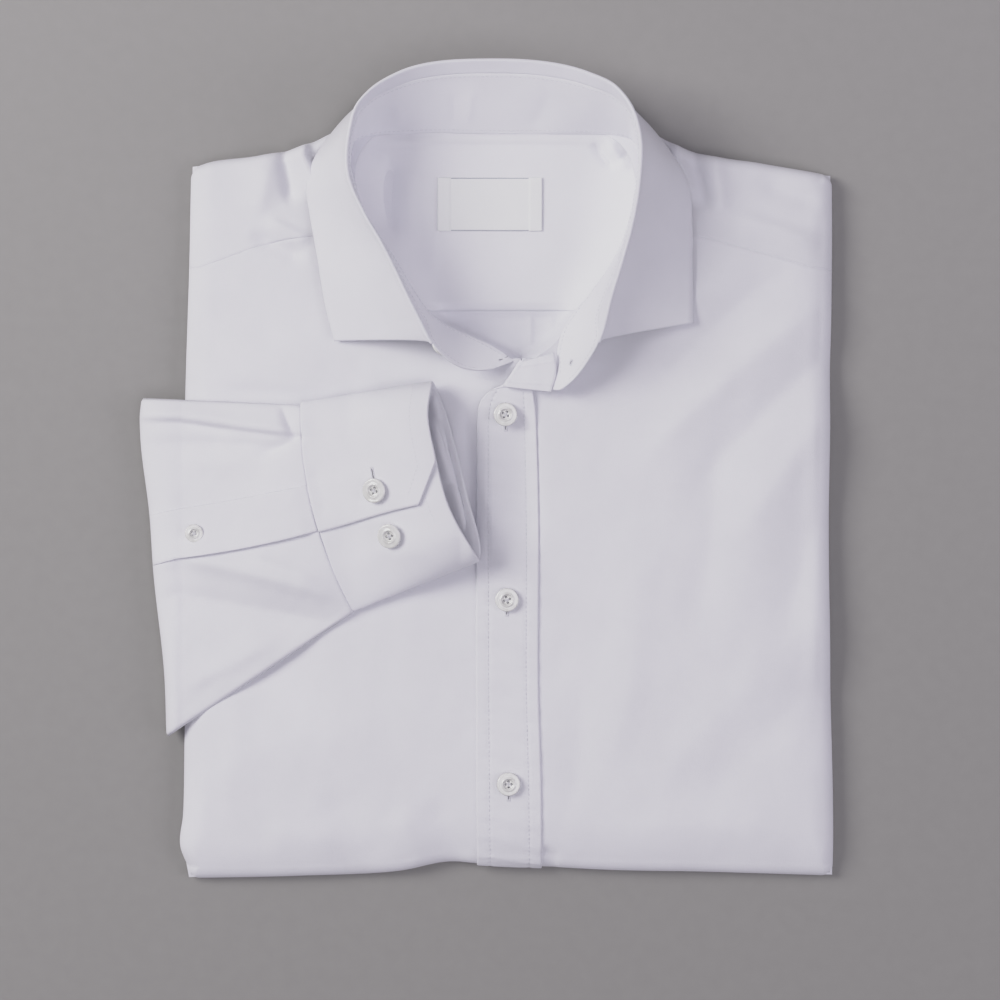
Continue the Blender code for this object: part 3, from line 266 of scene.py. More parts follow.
# The cuff: a band wound into a flattened ring, its free end over the other
CUFF_SEAM = ((-89.3, 33.2), (-64.8, -67.2))
CUFF_SEAM_BOW = 26.8
CUFF_MOUTH_BELOW = [
    (-26.9, 43.0), (-20.8, 27.4), (-15.1, 7.8), (-9.3, -15.0), (-4.7, -33.0), (-4.4, -43.2),
]
CUFF_MOUTH_ABOVE = [
    (-26.9, 43.0), (-28.9, 27.0), (-26.0, 10.0), (-20.4, -13.0), (-13.0, -29.0), (-4.4, -43.2),
]
CUFF_SEAM_HEIGHT = 8.5
CUFF_MOUTH_HEIGHT = 25.0
CUFF_MOUTH_LIFT = 8.0
CUFF_CLEARANCE = 0.5
CUFF_TIP_RISE = 1.8
CUFF_TIP_X = -14.0
CUFF_OVERLAP_DROP = 2.0
CUFF_UNDER_END = 0.42
CUFF_OVER_END = 0.615
CUFF_OVER_END_RISE = 0.017
CUFF_OVER_LIFT = 0.8
CUFF_SEAM_FLAT = 0.4
CUFF_MITRE_START = 0.46
CUFF_MITRE_DEPTH = 0.21
CUFF_EDGE_SHARE = 0.3
CUFF_STITCH_INSET = 0.14
CUFF_SEAM_PART = 0.55
CUFF_SEAM_ROWS = 44
CUFF_MOUTH_ROWS = 62
CUFF_UNDER_COLUMNS = 70
CUFF_LOWER_COLUMNS = 110
CUFF_UPPER_COLUMNS = 90
CUFF_INSIDE_CREASES = table(Crease, [
    ((-25.5, 22), (-21.5, 6), (-15.5, -8), 0.55, 4, 2.3),
    ((-18, -4), (-12.5, -14), (-11.5, -30), 0.55, 4, 2.1),
    ((-27, 37), (-25, 30), (-23, 22), 1.5, 2, 1.2),
    ((-30, 34), (-28, 24), (-27, 12), 1.5, 3, -1),
    ((-22, 24), (-18, 6), (-12, -16), 1.2, 1.4, -0.9),
])
CUFF_OUTSIDE_CREASES = table(Crease, [
    ((-78, 22), (-60, 24), (-40, 30), 6, 8, 0.6),
    ((-60, -34), (-44, -40), (-20, -40), 6, 5, 0.6),
    ((-84, 4), (-80, -10), (-76, -24), 3, 6, -0.5),
])

LABEL_CENTRE = (0.6, 128.6)
LABEL_SIZE = (50.0, 25.5)
BORDER_SPAN = (0.127, 0.873)
BORDER_STEPS = 120

# Buttons
FRONT_BUTTON_DIAMETER = 11.4
FRONT_BUTTON_THICKNESS = 2.6
CUFF_BUTTON_DIAMETER = 11.8
GAUNTLET_BUTTON_DIAMETER = 8.8
COLLAR_BUTTON_DIAMETER = 9.2
SMALL_BUTTON_THICKNESS = 2.2
HOLE_SPREAD = 0.115
HOLE_RADIUS = 0.052
BUTTON_SIDES = 56
FrontButton = namedtuple("FrontButton", "x y turn rise")
FRONT_BUTTONS = table(FrontButton, [
    (8.1, 27.2, 0.3, 1.2), (8.8, -61.4, 1.1, 0.0), (9.6, -149.7, 0.8, 0.0),
])
CuffButton = namedtuple("CuffButton", "along across sunk")
CUFF_BUTTONS = table(CuffButton, [(0.503, 0.499, 0.0), (0.502, 0.716, 0.8)])
GAUNTLET_BUTTON_PLACE = (0.87, 0.44)
COLLAR_BUTTON_SECTION = 1.8
COLLAR_BUTTON_HEIGHT = 0.72
CuffHole = namedtuple("CuffHole", "along start end")
CUFF_HOLE = CuffHole(0.511, 0.405, 0.47)
COLLAR_HOLE = (39.4, 51.6)

# Sewing
STITCH_PITCH = 2.2
STITCH_LENGTH = 1.75
THREAD_RADIUS = 0.17
HOLE_PITCH = 0.42
HOLE_STEPS = 30


def curve(rows, along):
    """Values of a short table at places between its rows, on a soft curve through them."""
    keys = np.array([row[0] for row in rows], float)
    values = np.array([np.ravel(row[1:]) for row in rows], float)
    slopes = np.gradient(values, keys, axis=0)
    along = np.clip(np.asarray(along, float), keys[0], keys[-1])
    low = np.clip(np.searchsorted(keys, along, side="right") - 1, 0, len(keys) - 2)
    step = (keys[low + 1] - keys[low])[..., None]
    t = (along - keys[low])[..., None] / step
    made = (
        (2 * t**3 - 3 * t**2 + 1) * values[low]
        + (t**3 - 2 * t**2 + t) * step * slopes[low]
        + (3 * t**2 - 2 * t**3) * values[low + 1]
        + (t**3 - t**2) * step * slopes[low + 1]
    )
    return made[..., 0] if values.shape[1] == 1 else made


def along_points(points, share):
    """Points at shares, 0 to 1, along a soft curve through evenly keyed points."""
    return curve([(index / (len(points) - 1), *point) for index, point in enumerate(points)], share)


def mix(first, second, share):
    """Points between two others."""
    share = np.asarray(share, float)[..., None]
    return np.asarray(first, float) * (1 - share) + np.asarray(second, float) * share


def fade(value):
    """Smooth step from 0 to 1."""
    value = np.clip(value, 0.0, 1.0)
    return value * value * (3 - 2 * value)


def same_shape(*values):
    """Values as arrays of one shape."""
    return np.broadcast_arrays(*(np.asarray(value, float) for value in values))


def path_lengths(points):
    """The distance along a line at each of its points."""
    return np.concatenate([[0.0], np.cumsum(np.linalg.norm(np.diff(points, axis=0), axis=1))])


def resample(at, lengths, values):
    """Values along a line, read at other distances."""
    return np.stack([np.interp(at, lengths, column) for column in values.T], -1)


def unit(vectors):
    return vectors / np.maximum(np.linalg.norm(vectors, axis=-1, keepdims=True), 1e-9)


def crease_height(creases, x, y):
    """Height that a table of creases adds at places of a cloth."""
    total = np.zeros(np.broadcast(x, y).shape)
    for crease in creases:
        steps = np.linspace(0, 1, 15)[:, None]
        line = (1 - steps) ** 2 * np.array(crease.start) + 2 * steps * (1 - steps) * np.array(crease.bend)
        line = line + steps**2 * np.array(crease.end)
        nearest = np.full(total.shape, 1e9)
        side = np.zeros(total.shape)
        where = np.zeros(total.shape)
        for index, (first, second) in enumerate(zip(line, line[1:])):
            run = second - first
            share = ((x - first[0]) * run[0] + (y - first[1]) * run[1]) / np.dot(run, run)
            share = np.clip(share, 0, 1)
            away_x, away_y = x - first[0] - run[0] * share, y - first[1] - run[1] * share
            away = np.hypot(away_x, away_y)
            closer = away < nearest
            nearest = np.where(closer, away, nearest)
            side = np.where(closer, run[0] * away_y - run[1] * away_x, side)
            where = np.where(closer, (index + share) / (len(line) - 1), where)
        width = np.where(side > 0, crease.left, crease.right)
        ends = fade(where / 0.3) * fade((1 - where) / 0.3)
        total = total + crease.height * ends * np.exp(-((nearest / width) ** 1.7))
    return total


def undulation(x, y, seed, length, height):
    """Soft waves of uneven length and direction."""
    chance = np.random.default_rng(seed)
    total = 0.0
    for _ in range(9):
        angle, phase = chance.uniform(0, 2 * math.pi, 2)
        wave = 2 * math.pi / (length * chance.uniform(0.6, 1.8))
        total = total + chance.uniform(0.3, 1.0) * np.sin(
            wave * (x * math.cos(angle) + y * math.sin(angle)) + phase
        )
    return total * height / 3


def cloth_height(x, y):
    """Height of the shirt's outer face over its flat part, without creases."""
    across = np.minimum(np.abs((x - CROWN_CENTRE[0]) / CROWN_HALF_SIZE[0]), 1.0)
    up = np.minimum(np.abs((y - CROWN_CENTRE[1]) / CROWN_HALF_SIZE[1]), 1.0)
    return EDGE_HEIGHT + CROWN_HEIGHT * (1 - across**4) * (1 - up**4)


def edge_roll(inside, width):
    """How far the cloth sinks at a distance inside the edge that it rolls over."""
    return EDGE_SLOPE / 2 * width * (1 - inside / width).clip(0, 1) ** 2


def body_rumple(x, y):
    """Creases, waves and rolled edges of the shirt's outer face."""
    left, right, bottom, _ = flat_limits(x, y)
    side_roll = edge_roll(np.minimum(right - x, x - left), SIDE_ROLL_WIDTH)
    roll = np.hypot(edge_roll(y - bottom, BOTTOM_ROLL_WIDTH), side_roll)
    waves = undulation(x, y, 3, 60, 0.5) + undulation(x, y, 4, 17, 0.09)
    return crease_height(BODY_CREASES, x, y) + waves - roll


def flat_limits(x, y):
    """Where the flat part ends and the cloth starts to turn down, on each side of a place."""
    left = curve(LEFT_EDGE, y) + EDGE_RADIUS
    right = curve(RIGHT_EDGE, y) - EDGE_RADIUS
    bottom = curve(BOTTOM_EDGE, x) + EDGE_RADIUS
    top = curve(TOP_EDGE, x) - EDGE_RADIUS
    return left, right, bottom, top


def body(x, y, lift=0.0, rumple=body_rumple):
    """Outer face of the shirt. Past the flat part, x and y are measured down round the edge."""
    x, y, lift = same_shape(x, y, lift)
    _, _, bottom, top = flat_limits(x, y)
    flat_y = np.clip(y, bottom, top)
    left, right, _, _ = flat_limits(x, flat_y)
    flat_x = np.clip(x, left, right)
    past = np.stack([x - flat_x, y - flat_y], -1)
    share = np.abs(past).max(-1) / EDGE_RADIUS
    sideways = np.where(past[..., 1] > 0, past[..., 0] ** 2 / (np.sum(past**2, -1) + 1e-9), 1.0)
    start = EDGE_START_ANGLE * sideways
    end = TOP_EDGE_END_ANGLE + (EDGE_END_ANGLE - TOP_EDGE_END_ANGLE) * sideways
    angle = start + (end - start) * share
    reach = EDGE_RADIUS / (1 - np.sin(start))
    drop = EDGE_RADIUS + (EDGE_SLOPE * reach / np.tan(EDGE_START_ANGLE) - EDGE_RADIUS) * sideways
    past = unit(past)
    out = past * (reach * (np.sin(angle) - np.sin(start)) + lift * np.sin(angle))[..., None]
    height = cloth_height(flat_x, flat_y) + rumple(flat_x, flat_y)
    z = height + drop * (np.cos(angle) - np.cos(start)) + lift * np.where(share > 0, np.cos(angle), 1.0)
    return np.stack([flat_x + out[..., 0], flat_y + out[..., 1], z], -1)


def placed(points):
    """Points of the tables, in metres from the origin under the middle of the shirt."""
    return (np.asarray(points, float) - MIDDLE) * MM


# Mesh helpers

Cloth = namedtuple("Cloth", "piece outer normal")


def grid_normals(rows, closed):
    along = np.gradient(rows, axis=0)
    if closed:
        across = (np.roll(rows, -1, axis=1) - np.roll(rows, 1, axis=1)) / 2
    else:
        across = np.gradient(rows, axis=1)
    return unit(np.cross(across, along))


def grid_faces(index, closed):
    if closed:
        index = np.concatenate([index, index[:, :1]], axis=1)
    return np.stack([index[:-1, :-1], index[:-1, 1:], index[1:, 1:], index[1:, :-1]], -1).reshape(-1, 4)


def border_of(index):
    """The numbers round a grid's border."""
    return np.concatenate([index[0, :-1], index[:-1, -1], index[-1, :0:-1], index[:0:-1, 0]])


def capped_faces(index):
    """Faces of a closed grid, with a lid at each end."""
    return grid_faces(index, True).tolist() + [index[0].tolist()[::-1], index[-1].tolist()]


def strip_faces(first, second):
    """Faces between two closed rings."""
    first, second = np.append(first, first[0]), np.append(second, second[0])
    return np.stack([first[:-1], second[:-1], second[1:], first[1:]], -1)


def add_object(name, data):
    made = bpy.data.objects.new(name, data)
    bpy.context.scene.collection.objects.link(made)
    return made


def add_mesh(name, points, faces, look, uv=None, smooth=True):
    """A new object from points in metres, its faces all facing out."""
    mesh = bpy.data.meshes.new(name)
    mesh.from_pydata(points.tolist(), [], [list(map(int, face)) for face in faces])
    if uv is not None:
        corners = np.zeros(len(mesh.loops), np.int32)
        mesh.loops.foreach_get("vertex_index", corners)
        layer = mesh.uv_layers.new(name="threads")
        layer.uv.foreach_set("vector", np.asarray(uv)[corners].astype(np.float32).ravel())
    shape = bmesh.new()
    shape.from_mesh(mesh)
    bmesh.ops.recalc_face_normals(shape, faces=shape.faces[:])
    shape.to_mesh(mesh)
    shape.free()
    mesh.materials.append(look)
    if smooth:
        mesh.shade_smooth()
    return add_object(name, mesh)


def edge_directions(rows, closed):
    """For each point of a grid's border, the direction that leads off the cloth."""
    away = np.zeros_like(rows)
    away[0] += unit(rows[0] - rows[1])
    away[-1] += unit(rows[-1] - rows[-2])
    if not closed:
        away[:, 0] += unit(rows[:, 0] - rows[:, 1])
        away[:, -1] += unit(rows[:, -1] - rows[:, -2])
    return away


def shell(name, rows, wall, look, closed=False, turned=False, centred=False):
    """Closed thin wall of cloth behind a grid of points, with rounded free edges."""
    normal = grid_normals(rows, closed) * (-1 if turned else 1)
    middle = rows if centred else rows - normal * wall / 2
    outer, inner = middle + normal * wall / 2, middle - normal * wall / 2
    edge = middle + edge_directions(rows, closed) * wall * RIM_ROUNDING
    high, wide = rows.shape[:2]
    index = np.arange(high * wide).reshape(high, wide)
    if closed:
        borders = [index[0], index[-1]]
    else:
        borders = [border_of(index)]
    faces = [grid_faces(index, closed), grid_faces(index + high * wide, closed)[:, ::-1]]
    points = [outer.reshape(-1, 3), inner.reshape(-1, 3)]
    across = np.cumsum(np.linalg.norm(np.diff(rows, axis=1, prepend=rows[:, :1]), axis=-1), axis=1)
    along = np.cumsum(np.linalg.norm(np.diff(rows, axis=0, prepend=rows[:1]), axis=-1), axis=0)
    flat = np.stack([across, along], -1).reshape(-1, 2) * MM
    uv = [flat, flat]
    first = 2 * high * wide
    for border in borders:
        ring = first + np.arange(len(border))
        first += len(border)
        points.append(edge.reshape(-1, 3)[border])
        uv.append(flat[border])
        faces += [strip_faces(border, ring), strip_faces(ring, border + high * wide)]
    made = add_mesh(name, placed(np.concatenate(points)), np.concatenate(faces), look, np.concatenate(uv))
    return Cloth(made, outer, normal)


def on_grid(values, row, column):
    """Values of a grid at places between its points."""
    row, column = same_shape(row, column)
    low_row = np.clip(np.floor(row).astype(int), 0, values.shape[0] - 2)
    low_column = np.clip(np.floor(column).astype(int), 0, values.shape[1] - 2)
    up, over = (row - low_row)[..., None], (column - low_column)[..., None]
    return (
        values[low_row, low_column] * (1 - up) * (1 - over)
        + values[low_row + 1, low_column] * up * (1 - over)
        + values[low_row, low_column + 1] * (1 - up) * over
        + values[low_row + 1, low_column + 1] * up * over
    )


def inside_out(stand):
    """The collar stand, with its other face as the outer one."""
    return Cloth(stand.piece, stand.outer - stand.normal * STAND_WALL, -stand.normal)


def line_on(cloth, row, column):
    """A line over a cloth's outer face, with the face's normals."""
    return on_grid(cloth.outer, row, column), unit(on_grid(cloth.normal, row, column))


def tidy_line(points, normals, pitch):
    """Places at an even pitch along a line, with their directions and normals."""
    lengths = path_lengths(points)
    at = (np.arange(int(lengths[-1] / pitch)) + 0.5) * pitch
    ahead, behind = resample(at + 0.4, lengths, points), resample(at - 0.4, lengths, points)
    return resample(at, lengths, points), unit(ahead - behind), unit(resample(at, lengths, normals))


STITCH_RINGS = [(-1.0, 0.25), (-0.8, 0.75), (-0.3, 1.0), (0.3, 1.0), (0.8, 0.75), (1.0, 0.25)]
STITCH_SIDES = 6


def stitch_template(length, radius):
    """Points and faces of one stitch: its ends dip into the cloth."""
    points = []
    for place, width in STITCH_RINGS:
        for side in range(STITCH_SIDES):
            angle = 2 * math.pi * side / STITCH_SIDES
            rise = radius * (0.75 - 1.1 * place**2)
            points.append((
                place * length / 2,
                radius * width * math.cos(angle),
                rise + radius * width * math.sin(angle),
            ))
    faces = []
    for ring in range(len(STITCH_RINGS) - 1):
        for side in range(STITCH_SIDES):
            after = (side + 1) % STITCH_SIDES
            low, high = ring * STITCH_SIDES, (ring + 1) * STITCH_SIDES
            faces.append((low + side, low + after, high + after, high + side))
    for first in (0, (len(STITCH_RINGS) - 1) * STITCH_SIDES):
        faces += [(first, first + 1, first + 2, first + 3), (first, first + 3, first + 4, first + 5)]
    return np.array(points), np.array(faces)


class Sewing:
    """Stitches gathered from many lines into one piece."""

    def __init__(self):
        self.points, self.faces, self.count = [], [], 0

    def add(self, centre, direction, normal, length=STITCH_LENGTH, radius=THREAD_RADIUS):
        shape, faces = stitch_template(length, radius)
        side = unit(np.cross(normal, direction))
        up = unit(np.cross(direction, side))
        placed_points = (
            centre[:, None]
            + shape[None, :, 0:1] * direction[:, None]
            + shape[None, :, 1:2] * side[:, None]
            + shape[None, :, 2:3] * up[:, None]
        )
        starts = self.count + np.arange(len(centre)) * len(shape)
        self.faces.append((faces[None] + starts[:, None, None]).reshape(-1, 4))
        self.points.append(placed_points.reshape(-1, 3))
        self.count += len(centre) * len(shape)

    def line(self, points, normals, pitch=STITCH_PITCH, length=STITCH_LENGTH, radius=THREAD_RADIUS):
        self.add(*tidy_line(points, normals, pitch), length, radius)

    def buttonhole(self, points, normals, width=1.5, radius=0.22):
        """Two close rows of stitches, one on each side of a slit, and a bar at each end."""
        centre, direction, normal = tidy_line(points, normals, HOLE_PITCH)
        side = unit(np.cross(normal, direction))
        for way in (-1, 1):
            self.add(centre + side * way * width * 0.36, side, normal, width * 0.62, radius)
        for end, way in ((0, 1), (-1, -1)):
            bar = centre[end] + direction[end] * np.linspace(0, 0.5, 3)[:, None] * way
            self.add(bar, side[[end] * 3], normal[[end] * 3], width, radius)

    def made(self, name, look):
        return add_mesh(name, placed(np.concatenate(self.points)), np.concatenate(self.faces), look)


# Materials

def new_material(name, colour, roughness, **settings):
    """A material, its nodes, its shader, and the coordinates that its patterns follow."""
    made = bpy.data.materials.new(name)
    made.use_nodes = True
    tree = made.node_tree
    shader = tree.nodes["Principled BSDF"]
    shader.inputs["Base Color"].default_value = (*colour, 1)
    shader.inputs["Roughness"].default_value = roughness
    for socket, value in settings.items():
        shader.inputs[socket.replace("_", " ")].default_value = value
    return made, tree, shader, tree.nodes.new("ShaderNodeTexCoord").outputs


def add_noise(tree, coordinates, scale, stretch=(1, 1, 1), detail=2.0):
    mapping = tree.nodes.new("ShaderNodeMapping")
    mapping.inputs["Scale"].default_value = stretch
    tree.links.new(coordinates, mapping.inputs["Vector"])
    noise = tree.nodes.new("ShaderNodeTexNoise")
    noise.inputs["Scale"].default_value = scale
    noise.inputs["Detail"].default_value = detail
    tree.links.new(mapping.outputs["Vector"], noise.inputs["Vector"])
    return noise.outputs["Fac"]


def add_wave(tree, coordinates, pitch, direction):
    wave = tree.nodes.new("ShaderNodeTexWave")
    wave.wave_type = "BANDS"
    wave.bands_direction = direction
    wave.inputs["Scale"].default_value = 2 * math.pi / (20 * pitch)
    wave.inputs["Distortion"].default_value = 0.6
    wave.inputs["Detail Scale"].default_value = 0.4
    tree.links.new(coordinates, wave.inputs["Vector"])
    return wave.outputs["Fac"]


def combine(tree, operation, first, second):
    node = tree.nodes.new("ShaderNodeMath")
    node.operation = operation
    for socket, value in zip(node.inputs, (first, second)):
        if isinstance(value, (int, float)):
            socket.default_value = value
        else:
            tree.links.new(value, socket)
    return node.outputs["Value"]


def add_colour(tree, shader, value, low, high, start=0.3, end=0.7):
    """Base colour that runs from a low to a high tone with a value."""
    ramp = tree.nodes.new("ShaderNodeValToRGB")
    for element, position, colour in zip(ramp.color_ramp.elements, (start, end), (low, high)):
        element.position = position
        element.color = (*colour, 1)
    tree.links.new(value, ramp.inputs["Fac"])
    tree.links.new(ramp.outputs["Color"], shader.inputs["Base Color"])


def add_bump(tree, shader, height, strength, distance):
    bump = tree.nodes.new("ShaderNodeBump")
    bump.inputs["Strength"].default_value = strength
    bump.inputs["Distance"].default_value = distance
    tree.links.new(height, bump.inputs["Height"])
    tree.links.new(bump.outputs["Normal"], shader.inputs["Normal"])


def cotton_material(name, low, high, thread_pitch=0.00042, strength=0.35):
    """Plain-woven cotton: threads both ways, slubs, soft mottling and a faint sheen."""
    made, tree, shader, place = new_material(
        name, high, 0.82, Sheen_Weight=0.18, Sheen_Roughness=0.45, Specular_IOR_Level=0.25
    )
    warp = add_wave(tree, place["UV"], thread_pitch, "X")
    weft = add_wave(tree, place["UV"], thread_pitch * 0.8, "Y")
    slubs_across = add_noise(tree, place["UV"], 1.0, (160, 2600, 1))
    slubs_along = add_noise(tree, place["UV"], 1.0, (2600, 160, 1))
    slubs = combine(tree, "ADD", slubs_across, slubs_along)
    soft = add_noise(tree, place["Object"], 26.0, detail=3.0)
    weave = combine(tree, "ADD", combine(tree, "MULTIPLY", warp, weft), slubs)
    relief = combine(tree, "ADD", weave, combine(tree, "MULTIPLY", soft, 2.2))
    fine = combine(tree, "MULTIPLY", slubs, 0.125)
    mottle = combine(tree, "ADD", combine(tree, "MULTIPLY", soft, 0.75), fine)
    add_colour(tree, shader, mottle, low, high, 0.35, 0.65)
    add_bump(tree, shader, relief, strength, 0.00014)
    return made


def thread_material():
    """Twisted sewing thread."""
    made, tree, shader, place = new_material(
        "sewing_thread", (0.8, 0.8, 0.84), 0.55, Sheen_Weight=0.15, Specular_IOR_Level=0.4
    )
    twist = add_noise(tree, place["Object"], 3500.0)
    add_colour(tree, shader, twist, (0.70, 0.70, 0.76), (0.84, 0.84, 0.87))
    add_bump(tree, shader, twist, 0.4, 0.0001)
    return made


def pearl_material():
    """Translucent polished shell with pale clouds."""
    made, tree, shader, place = new_material(
        "pearl_button", (0.80, 0.80, 0.78), 0.16, Specular_IOR_Level=0.7, Coat_Weight=1.0,
        Coat_Roughness=0.14, Transmission_Weight=0.06, IOR=1.5,
    )
    clouds = add_noise(tree, place["Object"], 260.0, detail=3.0)
    add_colour(tree, shader, clouds, (0.76, 0.76, 0.73), (0.93, 0.93, 0.92))
    roughness = combine(tree, "ADD", combine(tree, "MULTIPLY", clouds, 0.14), 0.08)
    tree.links.new(roughness, shader.inputs["Roughness"])
    add_bump(tree, shader, clouds, 0.12, 0.0003)
    return made


def shadow_material():
    """Painted shade inside a buttonhole: near-black for the slit, where the opening lies in shadow."""
    made, tree, shader, place = new_material("slit_shadow", (0.09, 0.08, 0.10), 0.9)
    fuzz = add_noise(tree, place["Object"], 2500.0)
    add_colour(tree, shader, fuzz, (0.06, 0.055, 0.07), (0.16, 0.15, 0.17))
    return made


COTTON = cotton_material("white_cotton", (0.818, 0.816, 0.865), (0.862, 0.860, 0.912))
# A lighter copy of the white cotton for the yoke lining and the collar stand: painted light that lifts the
# shade down inside the neck.
PAINTED_LIGHT_COTTON = cotton_material("inner_cotton_painted_light", (0.862, 0.860, 0.905), (0.892, 0.890, 0.935))
LABEL_CLOTH = cotton_material("label_satin", (0.87, 0.875, 0.89), (0.91, 0.915, 0.92), 0.0006, 0.25)
BORDER_THREAD = cotton_material("label_border", (0.30, 0.31, 0.38), (0.42, 0.43, 0.50), 0.0006, 0.3)
THREAD = thread_material()
PEARL = pearl_material()
# The buttonhole slits are painted shade.
SLIT_PAINTED_SHADE = shadow_material()


# The neck line seen from above

def neck_outline():
    """The neck line, from the one free end of the collar round the back to the other."""
    points = [np.array(section.base, float) for section in COLLAR[:NECK_SECTIONS]]
    points += [np.array(NECK_FRONT_CORNER), np.array(NECK_FRONT_CORNER_INNER)]
    count = (len(points) - 1) * 6
    return along_points(points, np.arange(count + 1) / count)


NECK_OUTLINE = neck_outline()
NECK_MIDDLE = len(NECK_OUTLINE) // 2
NECK_SIDES = (NECK_OUTLINE[:NECK_MIDDLE], NECK_OUTLINE[NECK_MIDDLE:])
NECK_TOP_OF_FRONTS = 127.0


def half_line(points):
    """One side of the neck line, as heights up the shirt and places across it, both rising."""
    kept = [points[0]]
    for point in points[1:]:
        if point[1] > kept[-1][1] + 0.2:
            kept.append(point)
    kept = np.array(kept)
    return kept[:, 1], kept[:, 0]


LEFT_NECK = half_line(NECK_SIDES[0])
RIGHT_NECK = half_line(NECK_SIDES[1][::-1])


def front_top(x):
    """How far up a front reaches at x: to the neck line, or else to the yoke seam."""
    sides = [side[side[:, 1] < NECK_TOP_OF_FRONTS] for side in NECK_SIDES]
    left_side, right_side = (side[np.argsort(side[:, 0])].T for side in sides)
    start, end = NECK_OUTLINE[0], NECK_FRONT_CORNER_INNER
    line = np.where(x < start[0], np.interp(x, *left_side, left=FAR), (start[1] + end[1]) / 2)
    line = np.where(x > end[0], np.interp(x, *right_side, right=FAR), line)
    return np.minimum(curve(YOKE_SEAM, x) - SEAM_GAP / 2, line)


YOKE_NECK_START_Y = 116.5
YOKE_NECK_BACK_SPAN = (-77.0, 80.0)
WRAP_STEPS = EDGE_RADIUS * (1 + np.arange(EDGE_WRAP_ROWS)) / EDGE_WRAP_ROWS


def front_rows(start_x, end_x, wrap_left, wrap_right):
    """Grid of one front, turned down round the bottom and one side."""
    columns = np.linspace(0, 1, int(abs(end_x - start_x) / CLOTH_STEP) + 1)
    shares = np.linspace(0, 1, int(FRONT_LENGTH / CLOTH_STEP) + 1)
    wraps_left, wraps_right = EDGE_WRAP_ROWS * wrap_left, EDGE_WRAP_ROWS * wrap_right
    column_share = np.concatenate([np.zeros(wraps_left), columns, np.ones(wraps_right)])
    flat = np.zeros(len(columns))
    over_x = np.concatenate([-WRAP_STEPS[:wraps_left][::-1], flat, WRAP_STEPS[:wraps_right]])
    row_share = np.concatenate([np.zeros(EDGE_WRAP_ROWS), shares])
    over_y = np.concatenate([-WRAP_STEPS[::-1], np.zeros(len(shares))])
    across, up = np.meshgrid(column_share, row_share)
    x = start_x + (end_x - start_x) * across
    y = np.zeros_like(x)
    for _ in range(4):
        _, _, bottom, _ = flat_limits(x, y)
        y = bottom + (front_top(x) - bottom) * up
        left, right, _, _ = flat_limits(x, y)
        low = left if wrap_left else start_x
        high = right if wrap_right else end_x
        x = low + (high - low) * across
    return body(x + over_x[None, :], y + over_y[:, None])


def yoke_rows():
    """From the front seams and the neck to the folded top edge, and down behind it."""
    neck = np.concatenate([side[side[:, 1] > YOKE_NECK_START_Y] for side in NECK_SIDES])
    lengths = path_lengths(neck)
    neck = resample(np.linspace(0, lengths[-1], int(lengths[-1] / CLOTH_STEP) + 1), lengths, neck)
    side = np.linspace(0, 1, YOKE_SIDE_COLUMNS)
    blank = np.zeros(EDGE_WRAP_ROWS)
    inward = np.concatenate([blank, side[:-1], np.ones(len(neck)), side[-2::-1], blank])
    over_x = np.concatenate([-WRAP_STEPS[::-1], np.zeros(2 * len(side) - 2 + len(neck)), WRAP_STEPS])
    before = EDGE_WRAP_ROWS + len(side) - 1
    neck_x = np.pad(neck[:, 0], before, mode="edge")
    neck_y = np.pad(neck[:, 1], before, constant_values=-FAR)
    places = np.arange(len(inward))
    back_x = np.interp(places, [before, len(inward) - before - 1], YOKE_NECK_BACK_SPAN)
    shares = np.linspace(0, 1, YOKE_ROWS)
    up = np.concatenate([shares, np.ones(EDGE_WRAP_ROWS)])[:, None]
    over_y = np.concatenate([np.zeros(len(shares)), WRAP_STEPS])[:, None]
    inner_x = neck_x * (1 - up) + back_x * up
    x, y = inner_x, np.full(inner_x.shape, 120.0)
    for _ in range(5):
        left, right, _, _ = flat_limits(x, y)
        edge = np.where(places < before, left, right)
        x = edge + (inner_x - edge) * inward
        front_y = np.where(neck_y > -FAR, neck_y, curve(YOKE_SEAM, x[0]) + SEAM_GAP / 2)
        y = front_y * (1 - up) + flat_limits(x, y)[3] * up
    return body(x + over_x, y + over_y)


def make_fronts():
    right = shell("right_front_cloth", front_rows(*RIGHT_FRONT_SPAN, True, False), FRONT_WALL, COTTON)
    left = shell("left_front_cloth", front_rows(*LEFT_FRONT_SPAN, False, True), FRONT_WALL, COTTON)
    return right, left


def lining_height(x, y):
    """The inner cloth is low in the middle of the neck and rises to the foot of the stand."""
    left = np.interp(y, *LEFT_NECK)
    right = np.interp(y, *RIGHT_NECK)
    away = np.minimum(np.minimum(x - left, right - x) * 0.9, LINING_BACK_Y - y).clip(0)
    width = LINING_RISE_WIDTH_FRONT + (LINING_RISE_WIDTH - LINING_RISE_WIDTH_FRONT) * fade((y - 66) / 40)
    rise = (cloth_height(x, y) + LINING_EDGE_LIFT - LINING_HEIGHT) * (1 - away / width).clip(0) ** 3.5
    relief = undulation(x, y, 8, 38, 0.3) + crease_height(LINING_CREASES, x, y)
    dip = BACK_DIP * fade((BACK_DIP_START - y) / BACK_DIP_LENGTH) * fade(away / 6)
    return LINING_HEIGHT + rise - dip + relief * fade((away + 2) / 6)


